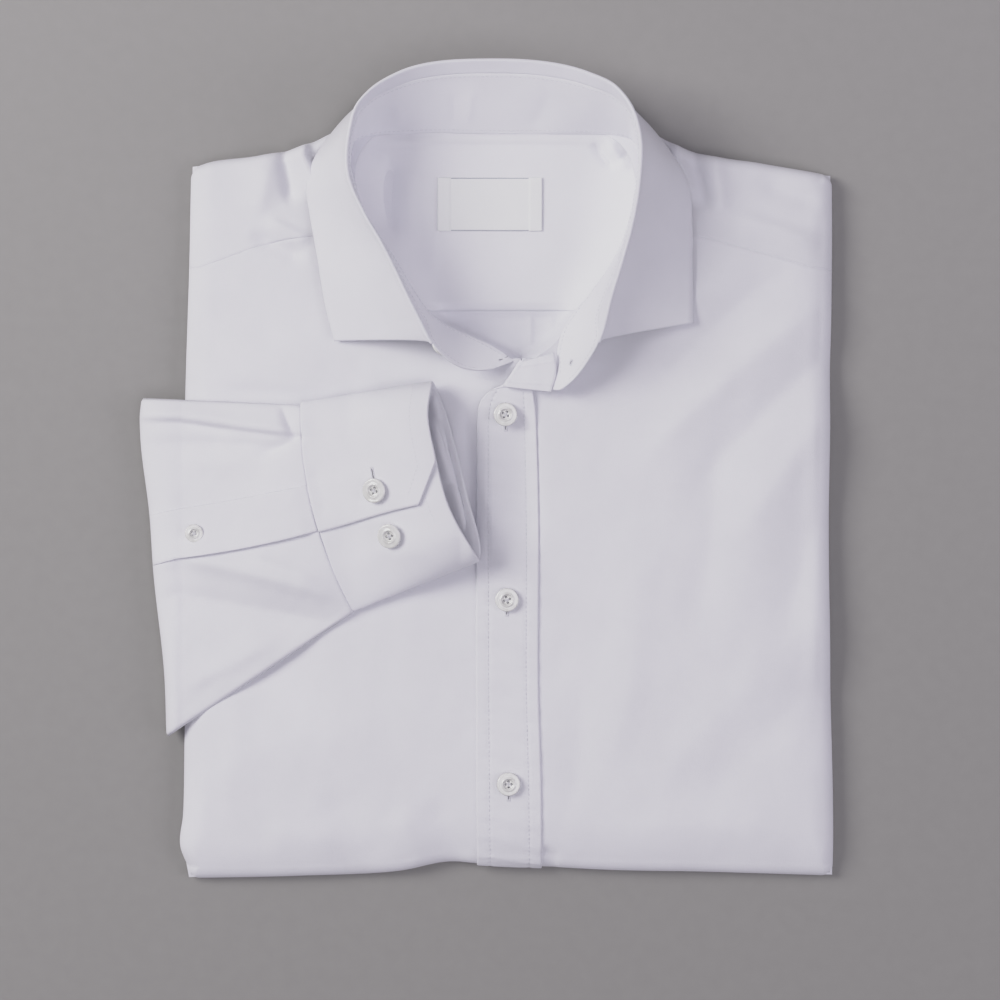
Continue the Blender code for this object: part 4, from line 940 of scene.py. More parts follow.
LINING_CREASES = table(Crease, [
    ((50, 160), (55, 151), (62, 145), 1.8, 2.5, -2.4),
    ((57, 161), (62, 150), (69, 145), 1.6, 2.2, 2.4),
    ((72, 157), (66, 151), (59, 148), 1.5, 2, -1.5),
    ((-52, 158), (-50, 148), (-54, 138), 3, 4, 0.6),
    ((20, 77), (21, 70), (20, 58), 1.2, 3, 0.7),
    ((31, 78), (30, 71), (31, 66), 1.2, 3, 0.6),
    ((-62, 158.6), (0, 160.2), (68, 158.4), 0.7, 0.7, 0.7),
    ((-62, 156.6), (0, 158.2), (68, 156.4), 0.5, 0.9, -0.5),
    ((-46, 154), (-51, 134), (-46, 108), 4, 5, -3),
    ((-36, 148), (-40, 128), (-36, 104), 4, 6, 1),
    ((-28, 120), (-24, 104), (-30, 90), 4, 6, 0.8),
])
STAND_CREASES = table(Crease, [
    ((178, 3), (179, 14), (178, 30), 3, 3, 0.55),
    ((205, 3), (207, 14), (206, 30), 2, 3, -0.4),
    ((213, 5), (215, 16), (216, 30), 3, 2, 0.35),
    ((150, 3), (153, 16), (156, 30), 4, 4, -0.5),
    ((108, 2), (112, 14), (116, 34), 5, 6, 0.6),
    ((250, 2), (252, 16), (256, 32), 5, 6, -0.5),
    ((300, 2), (305, 12), (312, 30), 5, 5, 0.5),
])


def make_inside():
    """Yoke lining and back, whose inner faces show through the neck."""
    pieces = []
    # The lining takes the lighter cotton, painted light over the shade of the neck; the back keeps the
    # plain cotton and so shows darker below the seam.
    for name, start, end, look, ridge in (
        ("yoke_lining_cloth", YOKE_BACK_SEAM_Y + SEAM_GAP, LINING_BACK_Y, PAINTED_LIGHT_COTTON, LINING_SEAM_RIDGE),
        ("back_cloth", BACK_FRONT_Y, YOKE_BACK_SEAM_Y, COTTON, 0.0),
    ):
        y = np.linspace(start, end, int((end - start) / INSIDE_STEP) + 1)[:, None]
        share = np.linspace(0, 1, INSIDE_COLUMNS)
        left, right = np.interp(y, *LEFT_NECK) - INSIDE_TUCK, np.interp(y, *RIGHT_NECK) + INSIDE_TUCK
        x, y = same_shape(left + (right - left) * share, y)
        z = lining_height(x, y) + ridge * fade(1 - (y - start) / 1.5)
        pieces.append(shell(name, np.stack([x, y, z], -1), LINING_WALL, look))
    return pieces


# Depth inside the outer edge, and height, down the layered edge of the hidden cloth
LayerLine = namedtuple("LayerLine", "inset height sway")
LAYER_LINES = table(LayerLine, [
    (3.6, 5.7, 0.0), (2.8, 5.2, 0.0), (2.4, 4.95, 0.0), (2.3, 4.85, 0.1), (2.4, 4.75, 0.2),
    (1.0, 4.55, 0.9), (0.4, 4.1, 1.0), (0.3, 3.7, 1.0), (0.8, 3.35, 0.9), (2.6, 3.1, 0.3),
    (1.2, 2.9, 0.8), (0.5, 2.55, 1.0), (0.4, 2.1, 1.0), (0.9, 1.75, 0.8), (2.4, 1.55, 0.3),
    (1.2, 1.35, 0.7), (0.7, 0.95, 0.9), (0.7, 0.55, 0.9), (1.2, 0.15, 0.7), (2.6, 0.0, 0.3),
])


def within_limits(column_share, row_share):
    """Places at shares of the way across and up the flat part of the body."""
    x, y = np.zeros(np.shape(column_share)), np.zeros(np.shape(column_share))
    for _ in range(4):
        left, right, bottom, top = flat_limits(x, y)
        x = left + (right - left) * column_share
        y = bottom + (top - bottom) * row_share
    return x, y


def layer_rings():
    """Rings down the edge of the stack, in and out with the fold of each layer."""
    shares = np.linspace(0, 1, LAYER_STEPS)
    low, high = np.zeros(LAYER_STEPS - 1), np.ones(LAYER_STEPS - 1)
    column = np.concatenate([shares[:-1], high, shares[:0:-1], low])
    row = np.concatenate([low, shares[:-1], high, shares[:0:-1]])
    way_x = np.concatenate([low, high, low, -high])
    way_y = np.concatenate([-high, low, high, low])
    for way in (way_x, way_y):
        way[:: LAYER_STEPS - 1] += np.roll(way, 1)[:: LAYER_STEPS - 1]
    x, y = within_limits(column, row)
    around = np.arange(len(column)) / len(column)
    rings = []
    for number, line in enumerate(LAYER_LINES):
        fold = number // 5
        sway = sum(
            np.sin(2 * math.pi * (around * turns + 0.37 * fold + 0.21 * turns)) / (1 + turns / 9)
            for turns in (3, 7, 13, 22)
        )
        out = EDGE_RADIUS - line.inset - 0.45 * line.sway * (1 + sway / 2.2)
        lift = 0.12 * line.sway * np.sin(2 * math.pi * (around * 9 + fold * 0.3))
        rings.append(np.stack([x + way_x * out, y + way_y * out, line.height + lift], -1))
    rings[-1][:, 2] = 0.0
    return rings


def make_layers():
    """The hidden layers: one closed stack, with the folds of each layer at its edges."""
    shares = np.linspace(0, 1, LAYER_STEPS)
    x, y = within_limits(*np.meshgrid(shares, shares))
    away = np.minimum(x - np.interp(y, *LEFT_NECK), np.interp(y, *RIGHT_NECK) - x)
    in_neck = fade((away + 26) / 16) * fade((y - 44) / 10)
    top_z = cloth_height(x, y) + body_rumple(x, y) - LAYERS_DEPTH
    dip = BACK_DIP * fade((BACK_DIP_START - y) / BACK_DIP_LENGTH)
    neck_z = LINING_HEIGHT - LINING_WALL - LAYERS_BELOW_LINING - dip
    top_z = top_z * (1 - in_neck) + np.minimum(top_z, neck_z) * in_neck
    index = np.arange(x.size).reshape(x.shape)
    border = border_of(index)
    points, faces = [np.stack([x, y, top_z], -1).reshape(-1, 3)], [grid_faces(index, False)]
    before, first = border, index.size
    for ring in layer_rings():
        numbers = first + np.arange(len(ring))
        points.append(ring)
        faces.append(strip_faces(before, numbers))
        before = numbers
        first += len(ring)
    relief = UNDER_RELIEF * fade((x - UNDER_LEFT_X + 3 * np.sin(y / 60)) / 1.2)
    relief = relief * fade((UNDER_RIGHT_X - x + 3 * np.sin(y / 47)) / 1.2)
    relief = relief * fade((y - UNDER_TAIL_Y + 2 * np.sin(x / 30)) / 1.2)
    inner = np.setdiff1d(index, border)
    mapped = np.zeros(index.size, int)
    mapped[border] = before
    mapped[inner] = first + np.arange(len(inner))
    points.append(np.stack([x, y, relief], -1).reshape(-1, 3)[inner])
    faces.append(mapped[grid_faces(index, False)][:, ::-1])
    points = np.concatenate(points)
    uv = points[:, :2] * MM
    return add_mesh("folded_layers_cloth", placed(points), np.concatenate(faces), COTTON, uv)


def placket_grid():
    """Middle of the placket's wall: up the front, round the roll line and out over itself."""
    across = np.linspace(0, 1, PLACKET_COLUMNS)
    bottom = flat_limits(np.array(10.0), np.array(0.0))[2]
    straight = np.linspace(bottom, PLACKET_TURN_Y, 170)
    y = np.concatenate([np.full(EDGE_WRAP_ROWS, bottom), straight])[:, None]
    x = curve(PLACKET_LEFT, y) * (1 - across) + curve(PLACKET_RIGHT, y) * across
    over = np.concatenate([WRAP_STEPS[::-1], np.zeros(len(straight))])[:, None]
    settle = fade(1 - (y - bottom) / 25)
    y = y + (flat_limits(x, y)[2] - bottom) * settle - over
    rows = [body(x, y, PLACKET_LIFT)]
    turn_left, turn_right = (
        (float(curve(edge, PLACKET_TURN_Y)), PLACKET_TURN_Y) for edge in (PLACKET_LEFT, PLACKET_RIGHT)
    )
    step = np.linspace(0, 1, 30)[1:]
    left = along_points([turn_left, *PLACKET_CORNER, PLACKET_ROLL_START], step)
    right = along_points([turn_right, *PLACKET_ROLL_SIDE, PLACKET_ROLL_END], step)
    flat = mix(left[:, None], right[:, None], across[None])
    rows.append(body(flat[..., 0], flat[..., 1], PLACKET_LIFT + PLACKET_RISE * fade(step)[:, None]))
    roll = np.array(PLACKET_ROLL_END) - np.array(PLACKET_ROLL_START)
    away = np.array([-roll[1], roll[0]]) / np.linalg.norm(roll)
    foot = rows[-1][-1]
    turn = np.linspace(0, math.pi, 14)[1:, None]
    out, up = PLACKET_ROLL_RADIUS * np.sin(turn), PLACKET_ROLL_RADIUS * (1 - np.cos(turn))
    rows.append(np.stack([foot[:, 0] + away[0] * out, foot[:, 1] + away[1] * out, foot[:, 2] + up], -1))
    crest = rows[-1][-1]
    step = np.linspace(0, 1, 18)[1:, None]
    end = mix(PLACKET_FLAP_START, PLACKET_FLAP_END, across)
    end[:, 0] += 1.6 * np.sin(math.pi * across)
    flap = mix(crest[None, :, :2], end[None], step)
    flap_z = crest[:, 2] + 0.8 * np.sin(math.pi * step / 2)
    rows.append(np.concatenate([flap, flap_z[..., None]], -1))
    return np.concatenate(rows)


def groove(place, line, width=0.9, depth=0.22):
    """A shallow channel that a line of stitches pulls into the cloth."""
    return -depth * np.exp(-(((place - line) / width) ** 2))


def make_placket(sewing):
    rows = placket_grid()
    across = np.linspace(0, PLACKET_WIDTH, rows.shape[1])
    up = np.arange(rows.shape[0])[:, None] * PLACKET_ROW_STEP
    lines = (PLACKET_STITCH_INSET, PLACKET_WIDTH - PLACKET_STITCH_INSET)
    relief = sum(groove(across, line) for line in lines)
    pucker = sum(
        np.exp(-(((across - line) / 3.0) ** 2)) * 0.10 * np.sin(up * 2 * math.pi / 5.3 + line)
        for line in lines
    )
    edge = 0.12 * np.sin(up * 2 * math.pi / 11 + across / 9)
    rows = rows + grid_normals(rows, False) * (relief + pucker + edge)[..., None]
    placket = shell("front_placket_cloth", rows, PLACKET_WALL, COTTON, centred=True)
    for line in lines:
        row = np.arange(2, rows.shape[0] - 1, 0.5)
        column = np.full(len(row), line / PLACKET_WIDTH * (rows.shape[1] - 1))
        sewing.line(*line_on(placket, row, column))
    return placket


# The collar, keyed by the distance along its rim
COLLAR_KEYS = path_lengths(np.array([section.rim for section in COLLAR], float))
COLLAR_BASES = [(key, *section.base) for key, section in zip(COLLAR_KEYS, COLLAR)]
COLLAR_RIMS = [(key, *section.rim) for key, section in zip(COLLAR_KEYS, COLLAR)]
COLLAR_LEAVES = [(key, *section.leaf) for key, section in zip(COLLAR_KEYS, COLLAR) if section.leaf]


def collar(along):
    """Base, rim and leaf points at distances along the collar's rim."""
    base = curve(COLLAR_BASES, along)
    lift = np.interp(along, COLLAR_KEYS, [section.lift for section in COLLAR])
    base = np.concatenate([base, (cloth_height(base[..., 0], base[..., 1]) + lift)[..., None]], -1)
    return base, curve(COLLAR_RIMS, along), curve(COLLAR_LEAVES, along)


def inner_leg(along):
    """How far down the stand's inner face the leaf reaches, running out towards its two ends."""
    inside = np.minimum(along - COLLAR_KEYS[LEAF_START], COLLAR_KEYS[LEAF_END] - along)
    return LEAF_INNER_LEG * fade(inside / LEAF_INNER_LEG_TAPER)


def make_stand(sewing):
    steps = np.arange(-0.8, 0.9, 0.2)
    ends = STAND_END_RADIUS * (1 - np.cos(np.linspace(0, math.pi / 2, 9)))
    along = np.unique(np.concatenate([
        np.linspace(STAND_END_RADIUS, COLLAR_KEYS[-1] - STAND_END_RADIUS, int(COLLAR_KEYS[-1])),
        ends, COLLAR_KEYS[-1] - ends,
        COLLAR_KEYS[LEAF_START] + steps, COLLAR_KEYS[LEAF_END] + steps,
    ]))
    base, rim, _ = collar(along)
    height = np.linalg.norm(rim - base, axis=-1)
    outside = np.maximum(COLLAR_KEYS[LEAF_START] - along, along - COLLAR_KEYS[LEAF_END])
    leg = np.maximum(inner_leg(along), LEAF_TURN_RADIUS + 0.1) + 0.1
    top = 1 - leg * (1 - fade((outside + 0.3) / 0.6)) / height
    from_end = np.minimum(along, along[-1] - along)
    rounding = STAND_END_RADIUS - np.sqrt(STAND_END_RADIUS**2 - (STAND_END_RADIUS - from_end).clip(0) ** 2)
    top = top - rounding / height
    share = np.linspace(0, 1, 30)
    rows = mix(base[:, None], rim[:, None], share[None] * top[:, None])
    normal = grid_normals(rows, False)
    x, y = along[:, None], share[None] * height[:, None]
    relief = undulation(x, y, 11, 26, 0.16) - crease_height(STAND_CREASES, x, y)
    relief = relief + groove(y, 2.2, 0.8, 0.15)
    rows = rows + normal * relief[..., None]
    # The stand takes the lighter cotton: painted light on the inner face of the collar, where it stands in
    # shade.
    stand = shell("collar_stand_cloth", rows, STAND_WALL, PAINTED_LIGHT_COTTON, centred=True)
    for height_up in (2.2, -1.6):
        row = np.arange(12, rows.shape[0] - 13, 0.5)
        tall = np.interp(row, np.arange(len(along)), height * top)
        column = (height_up if height_up > 0 else tall + height_up) / tall * (rows.shape[1] - 1)
        sewing.line(*line_on(inside_out(stand), row, column), length=1.5, radius=0.14)
    return stand


def make_leaf():
    start, end = COLLAR_KEYS[LEAF_START] + 0.3, COLLAR_KEYS[LEAF_END] - 0.3
    along = np.linspace(start, end, int(end - start) + 1)
    base, rim, leaf = collar(along)
    up = unit(rim - base)
    out = leaf - rim
    out = unit(out - up * np.sum(out * up, -1, keepdims=True))
    radius = LEAF_TURN_RADIUS
    leg = np.maximum(inner_leg(along), radius + 0.1)[:, None]
    columns = [rim - up * (leg * (1 - step) + radius * step) for step in np.linspace(0, 1, 7)[:-1]]
    centre = rim - up * radius + out * radius
    for turn in np.linspace(0, math.pi, 13):
        columns.append(centre - out * radius * math.cos(turn) + up * radius * math.sin(turn))
    first = columns[-1]
    length = np.linalg.norm(leaf - first, axis=-1, keepdims=True)
    bend = first - up * LEAF_FALL * length
    for step in np.linspace(0, 1, 34)[1:]:
        columns.append((1 - step) ** 2 * first + 2 * step * (1 - step) * bend + step**2 * leaf)
    rows = np.stack(columns, 1)
    return shell("collar_leaf_cloth", rows, LEAF_WALL, COTTON, centred=True)


# The sleeve and its cuff

def bowed(seam, across):
    """The cuff seam bends away from the hand between its two ends."""
    return seam - np.stack([CUFF_SEAM_BOW * across * (1 - across), 0 * across], -1)


def sleeve_height(along, across):
    """Thickness of the flattened sleeve, which runs out towards its lower edge."""
    tall = SLEEVE_SEAM_HEIGHT + (SLEEVE_FOLD_HEIGHT - SLEEVE_SEAM_HEIGHT) * fade(along * 1.3)
    return tall * (1 - SLEEVE_LOW_EDGE * fade((across - 0.6) / 0.4))


def sleeve_rumple(x, y):
    """Creases and waves of the sleeve's outer face."""
    waves = undulation(x, y, 21, 32, 0.4) + undulation(x, y, 22, 12, 0.07)
    return crease_height(SLEEVE_CREASES, x, y) + waves


def sleeve(along, across, depth):
    """Sleeve points at a depth under its outer face. From 1 to 2, along runs down round the fold."""
    along, across, depth = same_shape(along, across, depth)
    seam, fold = bowed(mix(*SLEEVE_SEAM, across), across), curve(SLEEVE_FOLD, across)
    turn_share = (SLEEVE_TURN_X - seam[..., 0]) / (fold[..., 0] - seam[..., 0])
    turn = mix(seam, fold, turn_share)
    flat = mix(seam, turn, np.minimum(along, 1))
    tall = sleeve_height(np.minimum(along, 1), across)
    top = cloth_height(flat[..., 0], flat[..., 1]) + SLEEVE_CLEARANCE + tall
    rumple = sleeve_rumple(flat[..., 0], flat[..., 1]) * fade(1 - depth / 3)
    lying = np.stack([flat[..., 0], flat[..., 1], top + rumple - depth], -1)
    angle = math.pi * (0.5 - (np.maximum(along, 1) - 1))
    top = cloth_height(turn[..., 0], turn[..., 1]) + SLEEVE_CLEARANCE + sleeve_height(1.0, across)
    centre = (top + SLEEVE_FLOOR) / 2
    wide, high = turn[..., 0] - fold[..., 0] - depth / 4, centre - SLEEVE_FLOOR - depth
    y = mix(turn, fold, np.cos(angle))[..., 1]
    fold_rumple = sleeve_rumple(turn[..., 0], turn[..., 1]) * fade(1 - depth / 3) * np.sin(angle).clip(0)
    folded = np.stack([
        turn[..., 0] - wide * np.cos(angle), y, centre + high * np.sin(angle) + fold_rumple,
    ], -1)
    return np.where((along <= 1)[..., None], lying, folded)


def edge_depth(across, thickness, sharpness=12):
    """Depth of a flattened tube's upper face: none in the middle, half way down at its edges."""
    return thickness / 2 * (1 - np.sqrt(np.maximum(1 - np.abs(2 * across - 1) ** sharpness, 0.0)))


def make_sleeve():
    swing = np.linspace(-1, 1, 110)
    across = 0.5 + 0.5 * np.sin(math.pi / 2 * swing) * (1 - 0.35 * (1 - swing**2))
    across[0], across[-1] = 0.0, 1.0
    along = np.concatenate([np.linspace(0, 1, 70), 1 + np.linspace(0, 1, 32)[1:]])[:, None]
    flat_along = np.minimum(along, 1.0)
    outer = sleeve(along, across[None], edge_depth(across[None], sleeve_height(flat_along, across[None])))
    inner_across = across[None, -2:0:-1]
    thickness = sleeve_height(flat_along, inner_across)
    inner = sleeve(along, inner_across, thickness - edge_depth(inner_across, thickness))
    rows = np.concatenate([outer, inner], axis=1)
    return shell("right_sleeve_cloth", rows, FRONT_WALL, COTTON, closed=True)


def make_gauntlet(sewing):
    along = np.linspace(*GAUNTLET_ALONG, 100)[:, None]
    run = np.minimum(along, 1.0) + GAUNTLET_FOLD_RUN * np.sin(math.pi * (along - 1).clip(0))
    low, high = (first + (last - first) * run for first, last in GAUNTLET_SPAN)
    share = np.linspace(0, 1, 17)[None]
    lift = GAUNTLET_LIFT + GAUNTLET_LOW_LIFT * share**2 * fade((1.15 - along) / 0.3)
    lift = lift * (0.35 + 0.65 * fade(along / 0.12))
    rows = sleeve(along, low + (high - low) * share, -lift)
    rows[..., 2] += groove(share * 16, 1.6, 0.9, 0.15) + groove(share * 16, 14.4, 0.9, 0.15)
    made = shell("sleeve_gauntlet_cloth", rows, TRIM_WALL, COTTON)
    for column in (1.6, 14.4):
        row = np.arange(1, 98, 0.5)
        sewing.line(*line_on(made, row, np.full(len(row), column)), pitch=2.0, length=1.5, radius=0.13)
    return made


def cuff(along, across, level):
    """Cuff points: level 0 on its lower side, 1 on its upper side."""
    along, across, level = same_shape(along, across, level)
    seam = bowed(mix(*CUFF_SEAM, across), across)
    mouth = mix(along_points(CUFF_MOUTH_BELOW, across), along_points(CUFF_MOUTH_ABOVE, across), level)
    flat = mix(seam, mouth, along)
    x, y = flat[..., 0], flat[..., 1]
    height = CUFF_SEAM_HEIGHT + (CUFF_MOUTH_HEIGHT - CUFF_SEAM_HEIGHT) * fade(along)
    height = height * (1 - SLEEVE_LOW_EDGE * fade((across - 0.6) / 0.4) * (1 - fade(along / 0.6)))
    low = cloth_height(x, y) + CUFF_CLEARANCE + CUFF_TIP_RISE * fade((x - CUFF_TIP_X) / 7)
    outward = np.abs(2 * across - 1)
    opened = fade(along / CUFF_SEAM_FLAT)
    edge = 0.5 + (CUFF_EDGE_SHARE - 0.5) * opened
    upper = edge + (1 - edge) * np.sqrt(np.maximum(1 - outward ** (12 - 9.4 * opened), 0.0))
    lower = edge * (1 - np.sqrt(np.maximum(1 - outward**12, 0.0)))
    lower = lower + CUFF_MOUTH_LIFT / height * fade((along - 0.3) / 0.7) * (1 - outward**2)
    creases = crease_height(CUFF_INSIDE_CREASES, x, y) * (1 - level) * fade(along * 3 - 1)
    creases = creases + crease_height(CUFF_OUTSIDE_CREASES, x, y) * level
    creases = creases + undulation(x, y, 41, 24, 0.22) * opened
    creases = creases + sleeve_rumple(x, y) * level * (1 - fade(along / 0.3))
    return np.stack([x, y, low + height * (lower + (upper - lower) * level) + creases], -1)


def spaced(start, end, count):
    """Shares that gather near 0 and 1, where the cloth turns."""
    first, last = (math.asin(2 * value - 1) for value in (start, end))
    return 0.5 + 0.5 * np.sin(np.linspace(first, last, count))


def make_cuff(sewing):
    under = spaced(CUFF_UNDER_END, 1.0, CUFF_UNDER_COLUMNS)
    lower = spaced(1.0, 0.0, CUFF_LOWER_COLUMNS)[1:]
    upper = spaced(0.0, CUFF_OVER_END, CUFF_UPPER_COLUMNS)[1:]
    across = np.concatenate([under, lower, upper])
    level = np.concatenate([np.ones(len(under)), np.zeros(len(lower)), np.ones(len(upper))])
    drop = np.zeros(len(across))
    drop[: len(under)] = CUFF_OVERLAP_DROP * fade((0.84 - under) / 0.2)
    over = np.concatenate([np.zeros(len(under) + len(lower)), np.ones(len(upper))])
    mitre = np.clip((across - CUFF_MITRE_START) / (CUFF_OVER_END - CUFF_MITRE_START), 0, 1) * over
    reach = 1 - CUFF_MITRE_DEPTH * mitre
    along = np.concatenate([
        np.linspace(0, CUFF_SEAM_PART, CUFF_SEAM_ROWS), np.linspace(CUFF_SEAM_PART, 1, CUFF_MOUTH_ROWS)[1:],
    ])[:, None]
    across = across[None] - over * CUFF_OVER_END_RISE * across / CUFF_OVER_END * fade(along / 0.8)
    rows = cuff(along * reach[None], across, level[None])
    rows[..., 2] -= drop[None] * (0.35 + 0.65 * fade(along / 0.3))
    rows[..., 2] += over * CUFF_OVER_LIFT * fade((across - 0.36) / 0.12) * (1 - fade(along / 0.4))
    made = shell("right_cuff_cloth", rows, CUFF_WALL, COTTON)
    stitched = np.interp(1 - CUFF_STITCH_INSET, along[:, 0], np.arange(len(along)))
    for columns in (np.arange(len(under) - 44), np.arange(len(level) - 80, len(level) - 4)):
        sewing.line(*line_on(made, stitched, columns), length=1.4, radius=0.11)
    return made


def make_label():
    """Woven label, its two ends turned under, with a thread border above and below."""
    half_width, half_depth = LABEL_SIZE[0] / 2, LABEL_SIZE[1] / 2
    share = np.linspace(0, 1, 90)
    up = np.linspace(0, 1, 40)
    x = LABEL_CENTRE[0] - half_width + 2 * half_width * share
    y = LABEL_CENTRE[1] - half_depth + 2 * half_depth * up[:, None]
    x, y = same_shape(x, y)
    from_end = np.minimum(share, 1 - share) * LABEL_SIZE[0]
    raised = 0.45 * fade((6.3 - from_end) / 0.8)
    z = lining_height(x, y) + 0.15 + LABEL_WALL + raised + undulation(x, y, 31, 14, 0.08)
    return shell("label_cloth", np.stack([x, y, z], -1), LABEL_WALL, LABEL_CLOTH)


def make_label_border(label):
    """Coloured threads along the label's two long edges, between its folded ends."""
    points, faces = [], []
    wide, high = label.outer.shape[1] - 1, label.outer.shape[0] - 1
    side = np.array([0.0, 0.15, 0.0])
    for row in (0.35, high - 0.35):
        line, normals = line_on(label, row, np.linspace(*BORDER_SPAN, BORDER_STEPS) * wide)
        top, under = line + normals * 0.08, line - normals * 0.22
        grid = np.stack([top + side, top - side, under - side, under + side], 1)
        index = (np.arange(grid.shape[0] * 4) + grid.shape[0] * 4 * len(points)).reshape(-1, 4)
        faces += capped_faces(index)
        points.append(grid.reshape(-1, 3))
    points = placed(np.concatenate(points))
    return add_mesh("label_border", points, faces, BORDER_THREAD, points[:, :2])


# Buttons

# Shares of the button's radius and thickness, from the middle of its back to that of its face
BUTTON_PROFILE = [
    (0.001, -0.50), (0.60, -0.50), (0.80, -0.42), (0.94, -0.16), (1.0, 0.04), (0.99, 0.24), (0.95, 0.38),
    (0.89, 0.44), (0.80, 0.40), (0.68, 0.36), (0.60, 0.40), (0.55, 0.48), (0.51, 0.50), (0.47, 0.44),
    (0.43, 0.26), (0.38, 0.14), (0.30, 0.10), (0.001, 0.09),
]


def button_shape(diameter, thickness):
    """Turned disc with a raised rim, a dished middle and four holes."""
    radius = diameter / 2
    share, height = np.array(BUTTON_PROFILE)[..., None].transpose(1, 0, 2)
    angle = np.linspace(0, 2 * math.pi, BUTTON_SIDES, endpoint=False)
    rows = same_shape(share * radius * np.cos(angle), share * radius * np.sin(angle), height * thickness)
    index = np.arange(rows[0].size).reshape(rows[0].shape)
    return np.stack(rows, -1).reshape(-1, 3), capped_faces(index)


def hole_cutter(diameter, thickness):
    spread, radius = diameter * HOLE_SPREAD, diameter * HOLE_RADIUS
    shape = bmesh.new()
    for turn in range(4):
        angle = math.pi / 4 + turn * math.pi / 2
        at = Matrix.Translation(Vector((spread * math.cos(angle), spread * math.sin(angle), 0)) * MM)
        bmesh.ops.create_cone(
            shape, cap_ends=True, segments=18, radius1=radius * MM, radius2=radius * MM,
            depth=thickness * 2.5 * MM, matrix=at,
        )
    mesh = bpy.data.meshes.new("holes")
    shape.to_mesh(mesh)
    shape.free()
    return add_object("holes", mesh)


def holed_button(diameter, thickness):
    points, faces = button_shape(diameter, thickness)
    blank = add_mesh("blank", points * MM, faces, PEARL)
    cutter = hole_cutter(diameter, thickness)
    cut = blank.modifiers.new("holes", "BOOLEAN")
    cut.operation = "DIFFERENCE"
    cut.object = cutter
    bpy.context.view_layer.update()
    mesh = bpy.data.meshes.new_from_object(blank.evaluated_get(bpy.context.evaluated_depsgraph_get()))
    for made in (blank, cutter):
        bpy.data.objects.remove(made, do_unlink=True)
    mesh.materials.clear()
    mesh.materials.append(PEARL)
    mesh.set_sharp_from_angle(angle=math.radians(50))
    return mesh


def button_threads(diameter, thickness, sewing, frame_matrix):
    """Two crossed bars of thread through the four holes."""
    for turn in range(2):
        angle = math.pi / 4 + turn * math.pi / 2
        for aside in (-0.16, 0.16):
            direction = Vector((math.cos(angle), math.sin(angle), 0))
            side = Vector((-direction.y, direction.x, 0))
            centre = side * aside + Vector((0, 0, thickness * (0.1 + 0.06 * turn)))
            at = np.array(frame_matrix @ centre)[None]
            way = np.array(frame_matrix.to_3x3() @ direction)[None]
            up = np.array(frame_matrix.to_3x3() @ Vector((0, 0, 1)))[None]
            sewing.add(at, way, up, diameter * HOLE_SPREAD * 2.4, 0.15)


def place_button(name, node, centre, axis, diameter, thickness, turn, sewing):
    mesh = holed_button(diameter, thickness)
    mesh.name = name
    rotation = Vector((0, 0, 1)).rotation_difference(Vector(axis)).to_matrix().to_4x4()
    spin = Matrix.Rotation(turn, 4, "Z")
    local = Matrix.Translation(Vector(centre)) @ rotation @ spin
    button_threads(diameter, thickness, sewing, local)
    made = add_object(name, mesh)
    made.matrix_world = Matrix.Translation(Vector(placed(centre))) @ rotation @ spin
    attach(made, "root")
    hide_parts(node)


def surface_normal(point_at, first, second, step=0.01, up=1):
    """The normal of a surface, on the side that looks up, or down where up is -1."""
    across = point_at(first + step, second) - point_at(first - step, second)
    away = point_at(first, second + step) - point_at(first, second - step)
    normal = unit(np.cross(across, away))
    return normal if normal[2] * up > 0 else -normal


def cuff_top(along, across):
    return cuff(along, across, 1.0)


def stand_point(along, share):
    base, rim, _ = collar(np.array(along))
    return base * (1 - share) + rim * share


def make_buttons(sewing):
    for index, row in enumerate(FRONT_BUTTONS, 1):
        lift = PLACKET_LIFT + PLACKET_WALL / 2 + 0.35
        z = body(row.x, row.y, lift)[2] + FRONT_BUTTON_THICKNESS / 2 + row.rise
        place_button(
            f"front_button_{index}_pearl", f"front_button_{index}", (row.x, row.y, z), (0.04, -0.03, 1),
            FRONT_BUTTON_DIAMETER, FRONT_BUTTON_THICKNESS, row.turn, sewing,
        )
    for index, row in enumerate(CUFF_BUTTONS, 1):
        normal = surface_normal(cuff_top, row.along, row.across)
        point = cuff_top(row.along, row.across) + normal * (0.3 - row.sunk + FRONT_BUTTON_THICKNESS / 2)
        place_button(
            f"cuff_button_{index}_pearl", f"cuff_button_{index}", point, normal,
            CUFF_BUTTON_DIAMETER, FRONT_BUTTON_THICKNESS, 0.5 * index, sewing,
        )
    point = sleeve(*GAUNTLET_BUTTON_PLACE, -SEAM_GAP * 2 - TRIM_WALL - SMALL_BUTTON_THICKNESS / 2)
    place_button(
        "gauntlet_button_pearl", "gauntlet_button", point, (0, 0, 1),
        GAUNTLET_BUTTON_DIAMETER, SMALL_BUTTON_THICKNESS, 0.2, sewing,
    )


